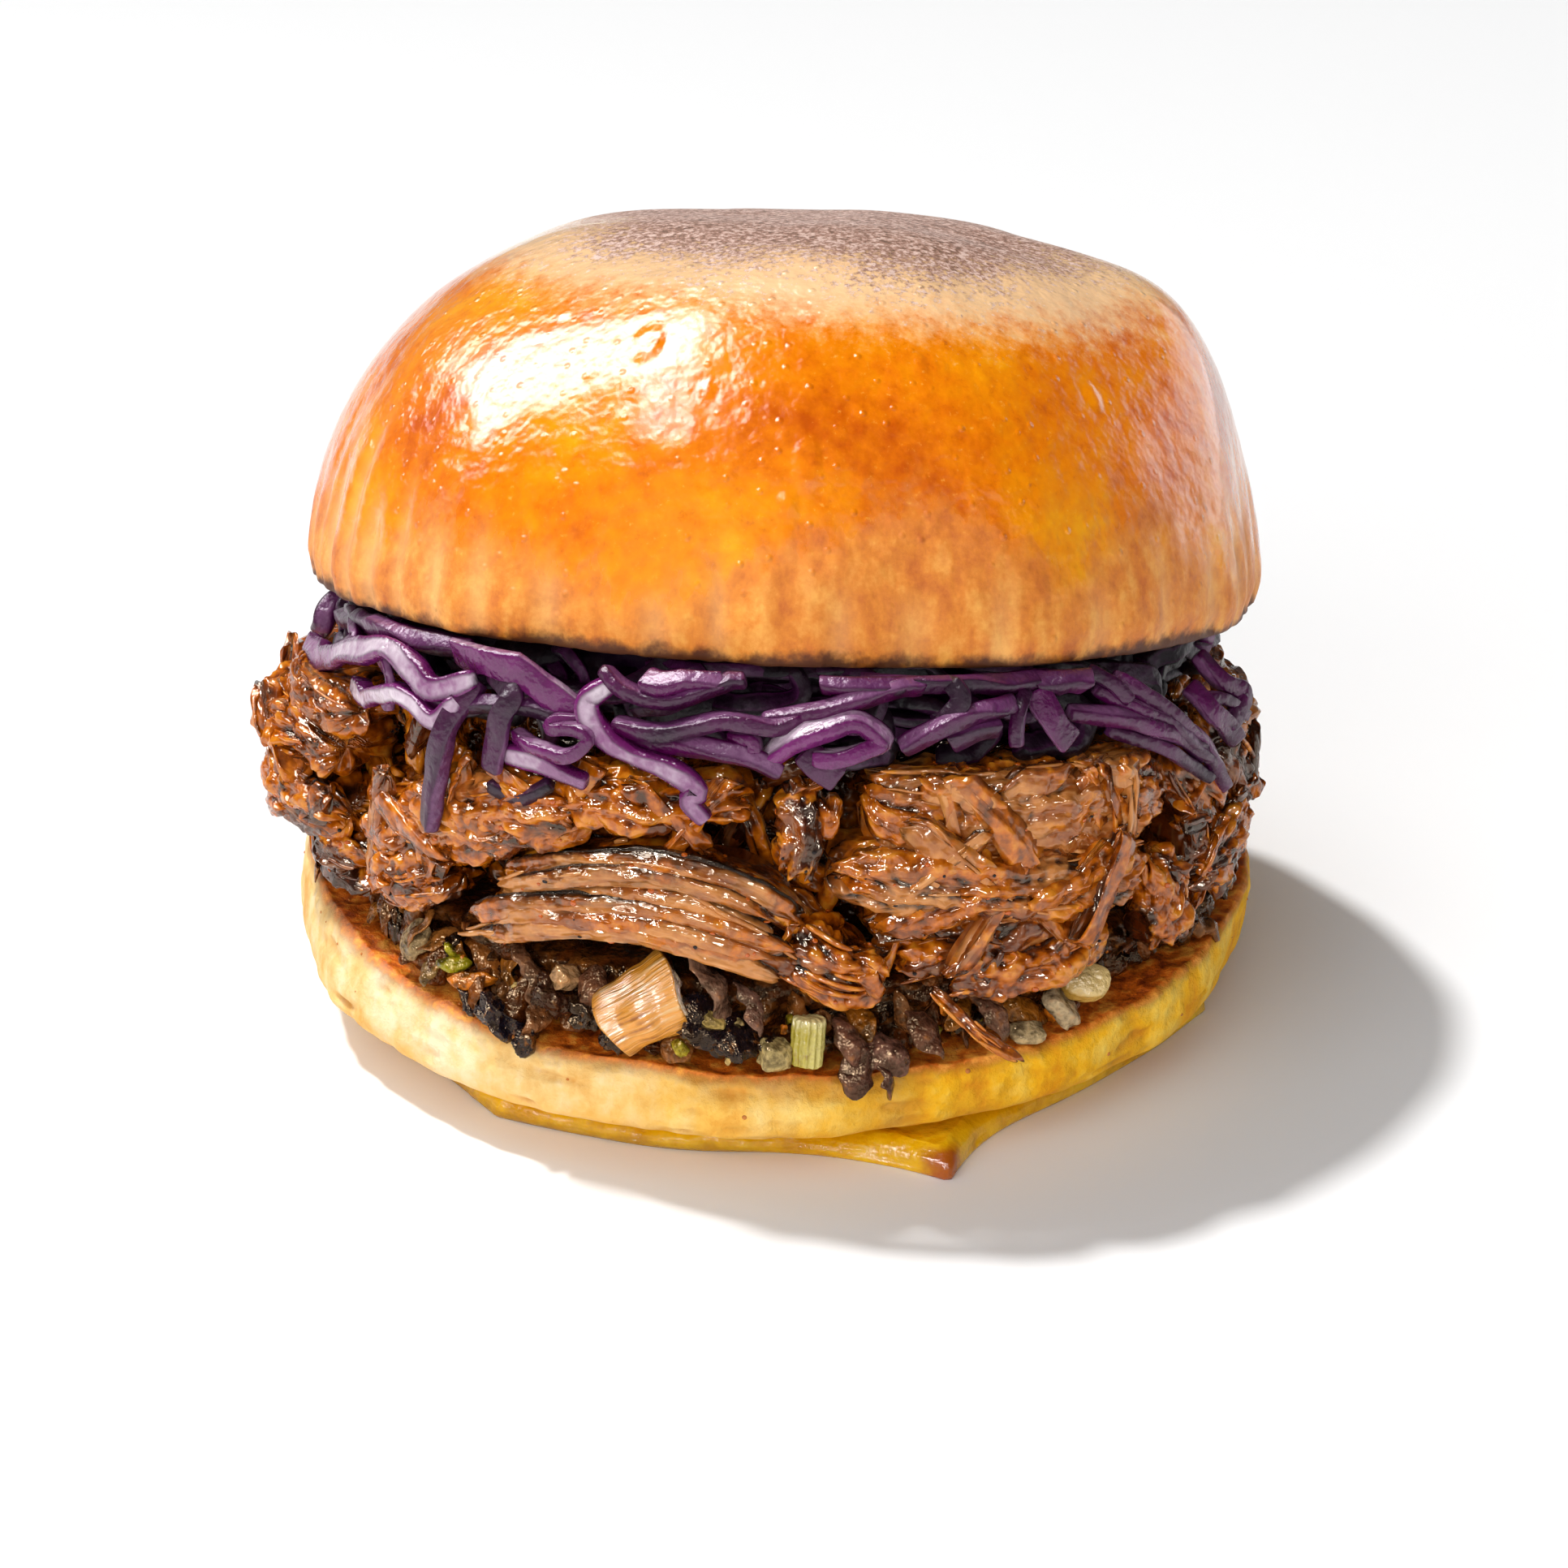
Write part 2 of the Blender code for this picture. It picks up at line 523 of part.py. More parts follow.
def build_vegetables(browned, green, pale):
    """The three vegetable pieces that stand out in front of the relish."""
    lump("browned_leek", polar(-104.0, 20.6, 54.0), (8.0, 7.0, 9.5), (0.5, 0.9, -0.3), browned)
    lump("stalk_slice", polar(-87.0, 17.6, 54.6), (5.4, 5.0, 5.2), (1.1, 0.1, 0.2), green, ridges=8)
    lump("garlic_slice", polar(-52.5, 18.2, 54.4), (7.4, 5.0, 3.2), (0.4, 0.3, -0.6), pale)


def main():
    for old in list(bpy.data.objects):
        bpy.data.objects.remove(old)
    crust = material("glazed_crust", (0.72, 0.30, 0.05), 0.30)
    crumb = material("toasted_crumb", (0.82, 0.60, 0.28), 0.75)
    lid = build_lid(crust)
    heel = build_heel(crumb, material("toasted_face", (0.30, 0.10, 0.03), 0.7))
    build_cheese(material("melted_cheese", (0.86, 0.55, 0.03), 0.30))
    build_relish(material("browned_onion", (0.16, 0.08, 0.04), 0.35))
    build_lamb(material("braised_lamb", (0.34, 0.13, 0.05), 0.38))
    build_slaw(material("red_cabbage", (0.22, 0.04, 0.20), 0.35))
    build_vegetables(material("browned_leek", (0.72, 0.42, 0.12), 0.4),
                     material("green_stalk", (0.66, 0.62, 0.26), 0.4),
                     material("pale_slice", (0.80, 0.66, 0.36), 0.4))
    for piece in (lid, heel):
        piece.data.shade_smooth()
        piece.data.set_sharp_from_angle(angle=math.radians(50))


main()
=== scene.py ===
"""Looks of the pulled-lamb burger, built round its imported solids.

Lengths in the shape code are millimetres, measured from the bun's axis at floor level; bearings are
degrees anticlockwise from +X, so -90 is the open front. A finished piece is in metres, in the part's
frame. Colours are display values from 0 to 255.
"""

import json
import math

import bpy
import numpy as np
from mathutils import Matrix

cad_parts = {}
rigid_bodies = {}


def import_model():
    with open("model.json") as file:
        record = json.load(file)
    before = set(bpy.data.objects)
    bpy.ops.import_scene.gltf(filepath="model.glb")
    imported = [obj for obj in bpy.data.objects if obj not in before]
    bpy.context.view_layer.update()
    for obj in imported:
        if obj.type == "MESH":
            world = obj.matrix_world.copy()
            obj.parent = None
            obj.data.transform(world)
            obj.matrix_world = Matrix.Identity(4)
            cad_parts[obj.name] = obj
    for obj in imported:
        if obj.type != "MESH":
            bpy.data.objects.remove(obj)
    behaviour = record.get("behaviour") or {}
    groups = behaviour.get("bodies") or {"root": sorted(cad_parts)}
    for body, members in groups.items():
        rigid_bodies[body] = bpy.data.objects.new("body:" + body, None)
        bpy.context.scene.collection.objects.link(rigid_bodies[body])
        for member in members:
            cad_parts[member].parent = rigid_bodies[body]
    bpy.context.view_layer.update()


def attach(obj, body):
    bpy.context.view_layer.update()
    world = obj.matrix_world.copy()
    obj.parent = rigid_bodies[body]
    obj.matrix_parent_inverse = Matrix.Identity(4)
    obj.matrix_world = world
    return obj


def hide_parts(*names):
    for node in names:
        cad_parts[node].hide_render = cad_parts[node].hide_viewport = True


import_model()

MM = 0.001
MIDDLE = np.array((1.4, 1.1, 0.0))     # from the bun's axis to the middle of the burger's box

# Lid of the bun: a dome that bulges over its cut face, leaning back on the filling.
LID_RADIUS = 55.0
LID_WAIST = 3.0
LID_DOME = 40.0
LID_SHOULDER = (3.0, 1.73)
LID_CENTRE = np.array((0.0, 1.1, 47.6))
LID_LEAN = 12.6
LID_ROLL = 2.4

# Heel of the bun.
HEEL_BASE_Z = 3.3
HEEL_RIM_Z = 17.4
HEEL_BASE_RADIUS = 45.0
HEEL_BULGE_RADIUS = 56.6
HEEL_RIM_RADIUS = 55.6
HEEL_BULGE_AT = 0.55
HEEL_PITCH = 4.1
HEEL_ROLL = 0.9
HEEL_SHIFT = 1.8

# Melted slice under the heel: (bearing, reach, spread) of each corner.
CHEESE_RADIUS = 48.8
CHEESE_LIP = 3.25
CHEESE_CORNERS = ((-71.5, 9.0, 7.0), (-18.0, 4.0, 9.0), (52.0, 5.5, 10.0), (130.0, 6.0, 9.0),
                  (-128.0, 3.4, 14.0))

# Levels of the filling: 0 on the heel's cut face, 1 on the lid's.
RELISH_TOP = 0.20
LAMB_TOP = 0.76

# Chunks of lamb: bearing, height and radius of each point along one, then its width, depth,
# paleness, sauce and kind.
LAMB_CHUNKS = (
    ((-81, 45.2, 50.5, -66, 43.5, 52.5, -52, 40.8, 52.5, -40, 36.5, 51.5), 10.5, 8, 0.62, 0.4, "slab"),
    ((-85, 36.6, 52, -70, 34.6, 54, -56, 31.8, 54, -43, 28.8, 52.5), 7.6, 8, 0.6, 0.55, "slab"),
    ((-80, 29.8, 50.5, -68, 28.8, 51.5, -57, 27.6, 51), 6, 7, 0.05, 0.5, "slab"),
    ((-77, 25, 52.5, -66, 27, 53.5, -53, 29, 53), 4.6, 5, 0.3, 0.45, "slab"),
    ((-71, 23, 54, -61, 23, 55, -50, 25.2, 54), 5, 4, 0.28, 0.55, "slab"),
    ((-73, 23, 54.5, -69, 18.4, 58.2, -64, 13.6, 59), 1.3, 1, 0.45, 0.85, "strand"),
    ((-42, 31, 53.5, -40.5, 25, 55.2, -40, 19.5, 55.6), 5.6, 4, 0.15, 0.7, "slab"),
    ((-36, 41, 51.5, -33, 33, 54, -31, 26, 54.4), 6.4, 5, 0.2, 0.55, "slab"),
    ((-27, 41, 50, -21, 34, 53.5, -17, 28, 54), 8.5, 6, 0.15, 0.5, "slab"),
    ((-37, 25.6, 53, -28, 26.8, 54.6, -18, 28, 53.6), 6.6, 6, 0.1, 0.5, "slab"),
    ((-126, 29.5, 51.5, -114, 35, 53.8, -103, 36.8, 54.6, -94, 34.6, 54.6,
      -87, 29.5, 53.6), 5, 7, 0.7, 0.35, "strips"),
    ((-129, 24.8, 52.8, -117, 30, 54.6, -105, 32, 55.2, -95, 29.8, 55.2,
      -86, 25.6, 54.4), 4.8, 6, 0.75, 0.25, "strips"),
    ((-151, 29.5, 50.5, -136, 34.6, 52.5, -122, 39.8, 53, -112, 42, 52.5), 9.5, 7, 0.55, 0.75, "slab"),
    ((-118, 42.4, 52, -106, 43.8, 52.5, -93, 44, 51), 5.4, 6, 0.4, 0.75, "slab"),
    ((-147, 26, 52, -139, 27.5, 53.8, -131, 30.5, 52.4), 7, 6, 0.1, 0.6, "slab"),
    ((-166, 24, 52.4, -157, 23.6, 54.6, -148, 24.4, 52.6), 6.4, 5, 0.05, 0.4, "slab"),
    ((-88, 46.5, 50.5, -87, 41, 53.4, -89, 36.5, 53.8), 4.6, 4.4, 0.1, 0.6, "slab"),
    ((-90, 29, 52.5, -84.5, 26.5, 55.2, -79, 24.8, 53.8), 6.6, 6, 0.4, 0.85, "slab"),
    ((-172, 44, 51, -161, 43.5, 54.5, -149, 43, 52.5), 5, 7, 0.4, 0.7, "slab"),
    ((-179, 37, 53, -167, 36.4, 56.8, -153, 38, 54), 7.4, 7.5, 0.45, 0.8, "slab"),
    ((-176, 29.8, 53, -165, 29.6, 56.8, -152, 30, 53.5), 7.2, 6.5, 0.25, 0.6, "slab"),
)

# Shreds of cabbage: bearing, height and radius of each point along one, then its width, quarter turns,
# thickness, first turn and paleness. Paleness is partly the leaf's own tone and partly painted shade: a low
# one shows a shred dark.
SLAW_SHREDS = (
    ((-124.1, 56.1, 54, -120.3, 54.8, 55.6, -121.2, 52.1, 56.4, -122.2, 46, 57), 2.6, 0.1, 1.2, 0, 0.45),
    ((-125.5, 54.6, 54.5, -127.3, 51, 56.6, -129, 45.8, 57.6, -130, 37.5, 58.2), 2.3, 0.25, 1.8, 0, 0.35),
    ((-172.4, 40.2, 54.9, -152.6, 49.6, 54.5, -140.3, 54.4, 55, -134.4, 54.3, 55.6, -130.5, 53, 56.2,
      -125.3, 55.4, 55.5), 1.6, 0.3, 2.6, 0.6, 0.9),
    ((-151.2, 44, 53.5, -140.8, 49.1, 55.5, -135.6, 50.8, 56, -129.6, 50.1, 57,
      -127.1, 52.9, 56.5), 1.8, 0.3, 2.2, 0.8, 1),
    ((-130.5, 58.6, 53, -124.1, 58.6, 54.6, -118.5, 56.8, 55, -113, 52.9, 54), 3.4, 0.1, 1.2, 0.1, 0.8),
    ((-120.2, 50.4, 55.5, -117.1, 49.9, 56.6, -112.9, 50, 57.4, -110.2, 52.1, 57.6, -111.5, 53, 57,
      -114.9, 52.1, 56, -114.8, 52.9, 55.4, -112.1, 53.1, 55), 1.4, 0, 1.5, 0, 0.75),
    ((-121.4, 48, 55.6, -115.4, 47.8, 56.4, -110.8, 46.9, 56.8), 1.5, 0.2, 2.2, 0.9, 0.8),
    ((-109, 57.3, 54, -111.2, 55.5, 55.6, -109.4, 52.6, 56.4, -105.6, 51, 57, -100, 49.5, 57.6,
      -98.2, 47.9, 57.8, -99.3, 46.9, 57.8, -97.6, 44.7, 58), 1.4, 0.2, 2, 0.9, 0.9),
    ((-108, 53.5, 55.6, -102.5, 53.7, 56.4, -96.1, 55.2, 56.2, -90.8, 54.6, 56.2,
      -86.7, 55.5, 55), 1.6, 0, 2, 0.05, 0.5),
    ((-107, 51.4, 55, -99.2, 52.1, 56, -93, 51.6, 57, -90, 50, 57.2), 1.7, 0.2, 1.9, 0.2, 0.6),
    ((-95.1, 53.2, 55, -93, 53.3, 56.4, -92.7, 52, 56.8), 1.3, 0.1, 1.6, 0.2, 0.6),
    ((-109.9, 58.6, 53.5, -106.6, 57.1, 54.6, -101.1, 56.9, 55, -93.9, 59.6, 54), 1.5, 0.1, 1.9, 0.1, 0.45),
    ((-104.9, 58.2, 54, -101.8, 58.4, 54.8, -96.2, 60.1, 54), 1.9, 0.2, 2.4, 0.3, 0.6),
    ((-91.7, 50.6, 56, -88.8, 53.6, 56.4, -85.2, 54.8, 56.6, -81.9, 55.3, 56.8, -79.2, 52.9, 57,
      -82.5, 51.9, 57.4, -86.8, 51.8, 57.2), 1.8, 0.2, 3, 0.1, 0.9),
    ((-87.6, 52.2, 56.6, -86, 50.9, 57.2, -84, 49.3, 57.6), 2.8, 0.1, 1.4, 0, 0.4),
    ((-91.9, 54.7, 54.6, -85.1, 56, 55.4, -80.7, 57.2, 55.2, -74.2, 57.9, 54), 2, 0.2, 1.7, 0.1, 0.55),
    ((-85.7, 58.4, 54, -80.6, 59.3, 54.6, -76.6, 58.5, 54), 1.8, 0.1, 1.8, 0.2, 0.4),
    ((-71.9, 58.3, 53.5, -70.6, 56.2, 55.8, -72.7, 53.7, 56), 2.2, 0.3, 1.3, 0.1, 0.35),
    ((-77.1, 51.4, 55.6, -73, 53.7, 56.6, -68.4, 54.4, 56.2, -64, 54.3, 55), 1.8, 0.2, 1.9, 0.2, 0.5),
    ((-61.8, 55.1, 54, -63.8, 53.1, 56, -64.3, 50.1, 56.6), 1.4, 0.2, 1.6, 0.2, 0.45),
    ((-60.4, 54.7, 53.8, -59.3, 51.9, 55.4, -57.1, 48.6, 55.8), 3, 0.1, 1, 0, 0.75),
    ((-47.8, 53.2, 53, -42.4, 48.6, 55.6, -35.7, 42.4, 56.6, -30, 35.2, 56.8), 1.8, 0.3, 2, 0.2, 0.6),
    ((-51.5, 52.6, 53.5, -44.7, 48.6, 55.8, -37.8, 43.2, 56.6, -32.3, 38.3, 56.8), 1.5, 0.2, 1.8, 0.3, 0.55),
    ((-56, 51.4, 54, -50.2, 49.7, 55.4, -42.4, 45.8, 56.4, -34.1, 40.4, 56.6), 1.7, -0.2, 2, 0.2, 0.6),
    ((-50.3, 48, 54.6, -42.6, 43.8, 56, -34.2, 37.8, 56.8), 1.5, 0.2, 1.5, 0.1, 0.4),
    ((-27, 48.8, 51.5, -26.4, 46.2, 54, -23.3, 43.3, 55.8, -28.8, 41.8, 56.4), 2, 0.2, 1.5, 0.2, 0.55),
    ((-32.4, 47.4, 53, -31.7, 44.6, 55.6, -26.2, 39.3, 56.6), 2.2, 0.3, 1.2, 0.1, 0.6),
    ((-31.3, 45.6, 54, -27.5, 44.1, 55.4, -21.1, 40.1, 56), 1.4, 0.1, 1.6, 0.1, 0.5),
    ((-81.1, 59.1, 52.5, -75, 58.2, 54, -67.4, 57.7, 54, -58.3, 56.2, 53), 1.7, 0.2, 1.8, 0.1, 0.35),
    ((-59.9, 56.3, 53, -57.2, 56.5, 54.4, -54, 54.8, 54.8), 2, 0.2, 2, 0.2, 0.5),
    ((-51.9, 54.6, 52.5, -49.9, 53.3, 54.6, -48.1, 51.2, 55.4), 1.6, 0.2, 1.2, 0, 0.4),
    ((-173, 46.2, 50.9, -147.5, 54.5, 52.5, -136, 57.7, 53, -128.4, 58.3, 52.5), 2, 0.2, 1.8, 0.2, 0.5),
    ((-167.1, 49, 50, -152.8, 51.4, 52.4, -154.1, 48.9, 54), 2.2, 0.2, 1.2, 0, 0.6),
    ((-134, 50.8, 55, -126.4, 52.2, 55.6, -119.7, 53.5, 55, -114.2, 52.6, 54), 1.6, 0.2, 1.8, 0.2, 0.35),
    ((-71.5, 51, 55, -68.9, 52.4, 55.6, -66, 52.2, 55.4), 2.2, 0.2, 1.6, 0.2, 0.4),
    ((-143.8, 52.9, 53.5, -139.8, 50.8, 55, -140.1, 47.7, 55.4), 2, 0.2, 1.2, 0, 0.7),
    ((-123.5, 43.5, 55.6, -119.1, 43.3, 56.4, -115.3, 45.5, 56), 1.5, 0.2, 1.5, 0.1, 0.15),
)


# ---------------------------------------------------------------- shape helpers

def unit(rows):
    """Rows scaled to length one."""
    return rows / (np.linalg.norm(rows, axis=-1, keepdims=True) + 1e-9)


def together(*parts):
    """Numbers at every point, stacked into points or marks."""
    return np.stack(np.broadcast_arrays(*parts), axis=-1)


def polar(bearing, height, radius):
    """Points from bearings in degrees, heights and distances from the bun's axis."""
    angle = np.radians(bearing)
    return together(radius * np.cos(angle), radius * np.sin(angle), height).astype(float)


def trail(numbers):
    """Points from a row of bearings, heights and radii."""
    return polar(*np.reshape(numbers, (-1, 3)).T)


def bearings(count):
    """Bearings all the way round, as a row."""
    return np.linspace(-180.0, 180.0, count, endpoint=False)[None, :]


def circle(count):
    """Angles all the way round in radians, as a row."""
    return np.linspace(0.0, 2 * math.pi, count, endpoint=False)[None, :]


def shares(count):
    """Shares from 0 to 1, as a column."""
    return np.linspace(0.0, 1.0, count)[:, None]


def apart(bearing, other):
    """Degrees between bearings, the short way round."""
    return np.abs((bearing - other + 180.0) % 360.0 - 180.0)


def bell(gap):
    """1 in the middle, falling off to 0 beyond a gap of about 2."""
    return np.exp(-gap ** 2)


def ease(low, high, value):
    """0 below low, 1 above high, smooth between."""
    share = np.clip((value - low) / (high - low), 0.0, 1.0)
    return share * share * (3.0 - 2.0 * share)


def turn(axis, degrees):
    """A rotation about one axis."""
    return np.array(Matrix.Rotation(math.radians(degrees), 3, axis))


def spin(angles):
    """Rotations in degrees about X, then Y, then Z."""
    return turn("Z", angles[2]) @ turn("Y", angles[1]) @ turn("X", angles[0])


def heel_z(x, y):
    """Height of the heel's cut face."""
    return HEEL_RIM_Z - x * math.tan(math.radians(HEEL_ROLL)) + y * math.tan(math.radians(HEEL_PITCH))


def lid_z(x, y):
    """Height of the lid's cut face."""
    back = (y - LID_CENTRE[1]) * math.tan(math.radians(LID_LEAN))
    return LID_CENTRE[2] - back - x * math.tan(math.radians(LID_ROLL))


def level_z(level, x, y):
    """Height of a level of the filling, from 0 on the heel's cut face to 1 on the lid's."""
    return heel_z(x, y) + level * (lid_z(x, y) - heel_z(x, y))


def on_levels(stops, levels):
    """Stops moved up to levels of the filling."""
    stops[:, 2] = level_z(levels, stops[:, 0], stops[:, 1])
    return stops


def wave(bearing, turns, phase, height):
    """A ripple round the burger with a whole number of turns."""
    return height * np.sin(turns * np.radians(bearing) + phase)


def lattice():
    """Random directions and a shuffled order for the relief."""
    draw = np.random.default_rng(5)
    return unit(draw.normal(size=(256, 3))), draw.permutation(256)


LEANINGS, ORDER = lattice()


def relief(points, size, seed=0):
    """Smooth random relief at points, about -1 to 1, with bumps about as wide as size."""
    shape = points.shape[:-1]
    spots = points.reshape(-1, 3) / size + seed * 7.31
    cell = np.floor(spots).astype(int)
    inside = spots - cell
    soft = inside ** 3 * (inside * (inside * 6 - 15) + 10)
    total = np.zeros(len(spots))
    for corner in range(8):
        step = np.array((corner & 1, corner >> 1 & 1, corner >> 2 & 1))
        x, y, z = ((cell + step) & 255).T
        pick = ORDER[(ORDER[(ORDER[x] + y) & 255] + z) & 255]
        pull = (LEANINGS[pick] * (inside - step)).sum(axis=1)
        total += pull * np.prod(np.where(step, soft, 1 - soft), axis=1)
    return (1.7 * total).reshape(shape)


def rugged(points, size, seed):
    """Relief with finer relief on it."""
    return sum(0.5 ** n * relief(points, size * 0.5 ** n, seed + n) for n in range(3))


def normals_of(grid):
    """Outward normals of a grid of rings that closes along its second axis."""
    along = np.gradient(grid, axis=0)
    around = np.roll(grid, -1, axis=1) - np.roll(grid, 1, axis=1)
    return unit(np.cross(around, along))


def add_mark(mesh, name, values):
    """A mark at each point of a mesh: one number or a row of three."""
    kind, field = ("FLOAT_VECTOR", "vector") if values.shape[-1] == 3 else ("FLOAT", "value")
    layer = mesh.attributes.new(name, kind, "POINT")
    layer.data.foreach_set(field, values.astype(np.float32).ravel())


def show(name, mesh):
    """A new object at the origin that shows a mesh."""
    made = bpy.data.objects.new(name, mesh)
    bpy.context.scene.collection.objects.link(made)
    return made


class Batch:
    """Closed shapes gathered into one piece, each with marks at its points that its finish reads."""

    def __init__(self):
        self.points = []
        self.quads = []
        self.fans = []
        self.marks = {}
        self.count = 0

    def sweep(self, rings, **marks):
        """Adds a closed shape through rings of points, shut by a fan at each end."""
        rows, sides = rings.shape[:2]
        here = np.arange(rows * sides).reshape(rows, sides)
        after = np.roll(here, -1, axis=1)
        quads = np.stack((here[:-1], after[:-1], after[1:], here[1:]), axis=-1).reshape(-1, 4)
        first = together(rows * sides, after[0], here[0])
        last = together(rows * sides + 1, here[-1], after[-1])
        points = np.vstack((rings.reshape(-1, 3), rings[0].mean(axis=0), rings[-1].mean(axis=0)))
        fans = np.vstack((first, last))
        a, b, c, d = (points[quads[:, n]] - points[0] for n in range(4))
        if (np.cross(a, b) * c).sum() + (np.cross(a, c) * d).sum() < 0:
            quads, fans = quads[:, ::-1], fans[:, ::-1]
        self.points.append(points)
        self.quads.append(quads + self.count)
        self.fans.append(fans + self.count)
        self.count += len(points)
        for name, values in marks.items():
            values = np.asarray(values, float)
            if values.ndim < 2:
                values = np.broadcast_to(values, (rows, sides, *values.shape))
            spread = values.reshape(rows, sides, -1)
            ends = np.vstack((spread[0].mean(axis=0), spread[-1].mean(axis=0)))
            self.marks.setdefault(name, []).append(np.vstack((spread.reshape(-1, spread.shape[-1]), ends)))

    def make(self, name, finish):
        """The finished piece."""
        mesh = bpy.data.meshes.new(name)
        points = (np.vstack(self.points) + MIDDLE) * MM
        quads, fans = np.vstack(self.quads), np.vstack(self.fans)
        mesh.vertices.add(len(points))
        mesh.vertices.foreach_set("co", points.astype(np.float32).ravel())
        corners = np.concatenate((quads.ravel(), fans.ravel())).astype(np.int32)
        counts = np.repeat((4, 3), (len(quads), len(fans)))
        mesh.loops.add(len(corners))
        mesh.loops.foreach_set("vertex_index", corners)
        mesh.polygons.add(len(counts))
        mesh.polygons.foreach_set("loop_start", (np.cumsum(counts) - counts).astype(np.int32))
        mesh.update(calc_edges=True)
        for mark, rows in self.marks.items():
            add_mark(mesh, mark, np.vstack(rows))
        mesh.materials.append(finish)
        mesh.polygons.foreach_set("use_smooth", np.ones(len(counts), bool))
        return show(name, mesh)


def one_shape(name, finish, rings, **marks):
    """A finished piece that is a single closed shape."""
    batch = Batch()
    batch.sweep(rings, **marks)
    return batch.make(name, finish)


def smooth_path(stops, count):
    """Evenly spaced points along a smooth curve through the stops."""
    stops = np.asarray(stops, float)
    padded = np.vstack((2 * stops[0] - stops[1], stops, 2 * stops[-1] - stops[-2]))
    along = np.linspace(0.0, len(stops) - 1 - 1e-6, 12 * len(stops))
    span = along.astype(int)
    t = (along - span)[:, None]
    a, b, c, d = (padded[span + n] for n in range(4))
    line = 0.5 * (2 * b + (c - a) * t + (2 * a - 5 * b + 4 * c - d) * t ** 2
                  + (3 * b - a - 3 * c + d) * t ** 3)
    gone = np.concatenate(((0.0,), np.cumsum(np.linalg.norm(np.diff(line, axis=0), axis=1))))
    even = np.linspace(0.0, gone[-1], count)
    return np.stack([np.interp(even, gone, line[:, n]) for n in range(3)], axis=1)


class Guide:
    """A smooth path round the heap that knows its outward and upward sides."""

    def __init__(self, stops, count=120):
        self.line = smooth_path(stops, count)
        self.length = np.linalg.norm(np.diff(self.line, axis=0), axis=1).sum()
        along = unit(np.gradient(self.line, axis=0))
        out = unit(self.line * (1, 1, 0))
        self.out = unit(out - along * (along * out).sum(axis=1, keepdims=True))
        self.up = np.cross(self.out, along)

    def at(self, share):
        """Point, outward side and upward side at shares of the length."""
        where = np.clip(share, 0.0, 1.0) * (len(self.line) - 1)
        low = np.minimum(where.astype(int), len(self.line) - 2)
        rest = (where - low)[..., None]
        return [table[low] * (1 - rest) + table[low + 1] * rest for table in (self.line, self.out, self.up)]


EVERYWHERE = 1000.0     # a free radius that no piece reaches


def tuck(rings, low, high, free=EVERYWHERE):
    """Each ring moved up or down into its layer; outside the free radius it may hang below it."""
    x, y, z = rings[..., 0], rings[..., 1], rings[..., 2]
    above = np.maximum((z - level_z(high, x, y)).max(axis=1) + 0.3, 0.0)
    below = np.maximum((level_z(low, x, y) - z).max(axis=1) + 0.3, 0.0)
    inner = np.hypot(x, y).mean(axis=1) < free
    rings[..., 2] += (np.where(above > 0, -above, below * inner))[:, None]
    return rings


# ---------------------------------------------------------------- finishes

def paint(red, green, blue):
    """A display colour as the shader takes it."""
    return tuple(((v / 255 + 0.055) / 1.055) ** 2.4 if v > 10 else v / 255 / 12.92
                 for v in (red, green, blue))


def arithmetic(operation, swapped=False):
    """An operator that adds a Math node."""
    def act(wire, other=0.0):
        pair = (other, wire) if swapped else (wire, other)
        return wire.maker.node("ShaderNodeMath", {"operation": operation}, dict(enumerate(pair)))
    return act


class Wire:
    """An output of a node. Arithmetic on it adds Math nodes."""

    def __init__(self, maker, socket):
        self.maker = maker
        self.socket = socket

    __add__ = __radd__ = arithmetic("ADD")
    __mul__ = __rmul__ = arithmetic("MULTIPLY")
    __sub__ = arithmetic("SUBTRACT")
    __rsub__ = arithmetic("SUBTRACT", swapped=True)
    __abs__ = arithmetic("ABSOLUTE")

    def between(self, low, high):
        """0 below low, 1 above high, smooth between; high may be the lower of the two."""
        return self.maker.node("ShaderNodeMapRange", {"interpolation_type": "SMOOTHSTEP"},
                               {"Value": self, "From Min": low, "From Max": high})


class Maker:
    """Builds a node tree: every node but the wires' own sums comes from node()."""

    def put(self, node, socket, value):
        """Links or sets one input of a node."""
        target = node.inputs[socket]
        if isinstance(value, Wire):
            self.tree.links.new(value.socket, target)
        elif target.type == "RGBA":
            target.default_value = (*value, 1.0)
        else:
            target.default_value = value

    def node(self, kind, settings=None, sockets=None, output=0):
        """A node of one type, with its settings and then its sockets."""
        made = self.tree.nodes.new(kind)
        for setting, value in (settings or {}).items():
            setattr(made, setting, value)
        for socket, value in (sockets or {}).items():
            self.put(made, socket, value)
        return Wire(self, made.outputs[output])

    def parts(self, vector):
        """The three numbers of a vector."""
        node = self.node("ShaderNodeSeparateXYZ", None, {0: vector}).socket.node
        return [Wire(self, output) for output in node.outputs]


class Room(Maker):
    """The studio round the burger: pale walls under a dim ceiling."""

    def __init__(self, name):
        world = bpy.data.worlds.new(name)
        world.use_nodes = True
        bpy.context.scene.world = world
        self.tree = world.node_tree
        height = self.parts(self.node("ShaderNodeTexCoord", output="Generated"))[2]
        self.put(self.tree.nodes["Background"], "Color", (1.0, 1.0, 1.0))
        self.put(self.tree.nodes["Background"], "Strength", height.between(0.62, 0.20) * 0.10 + 0.03)


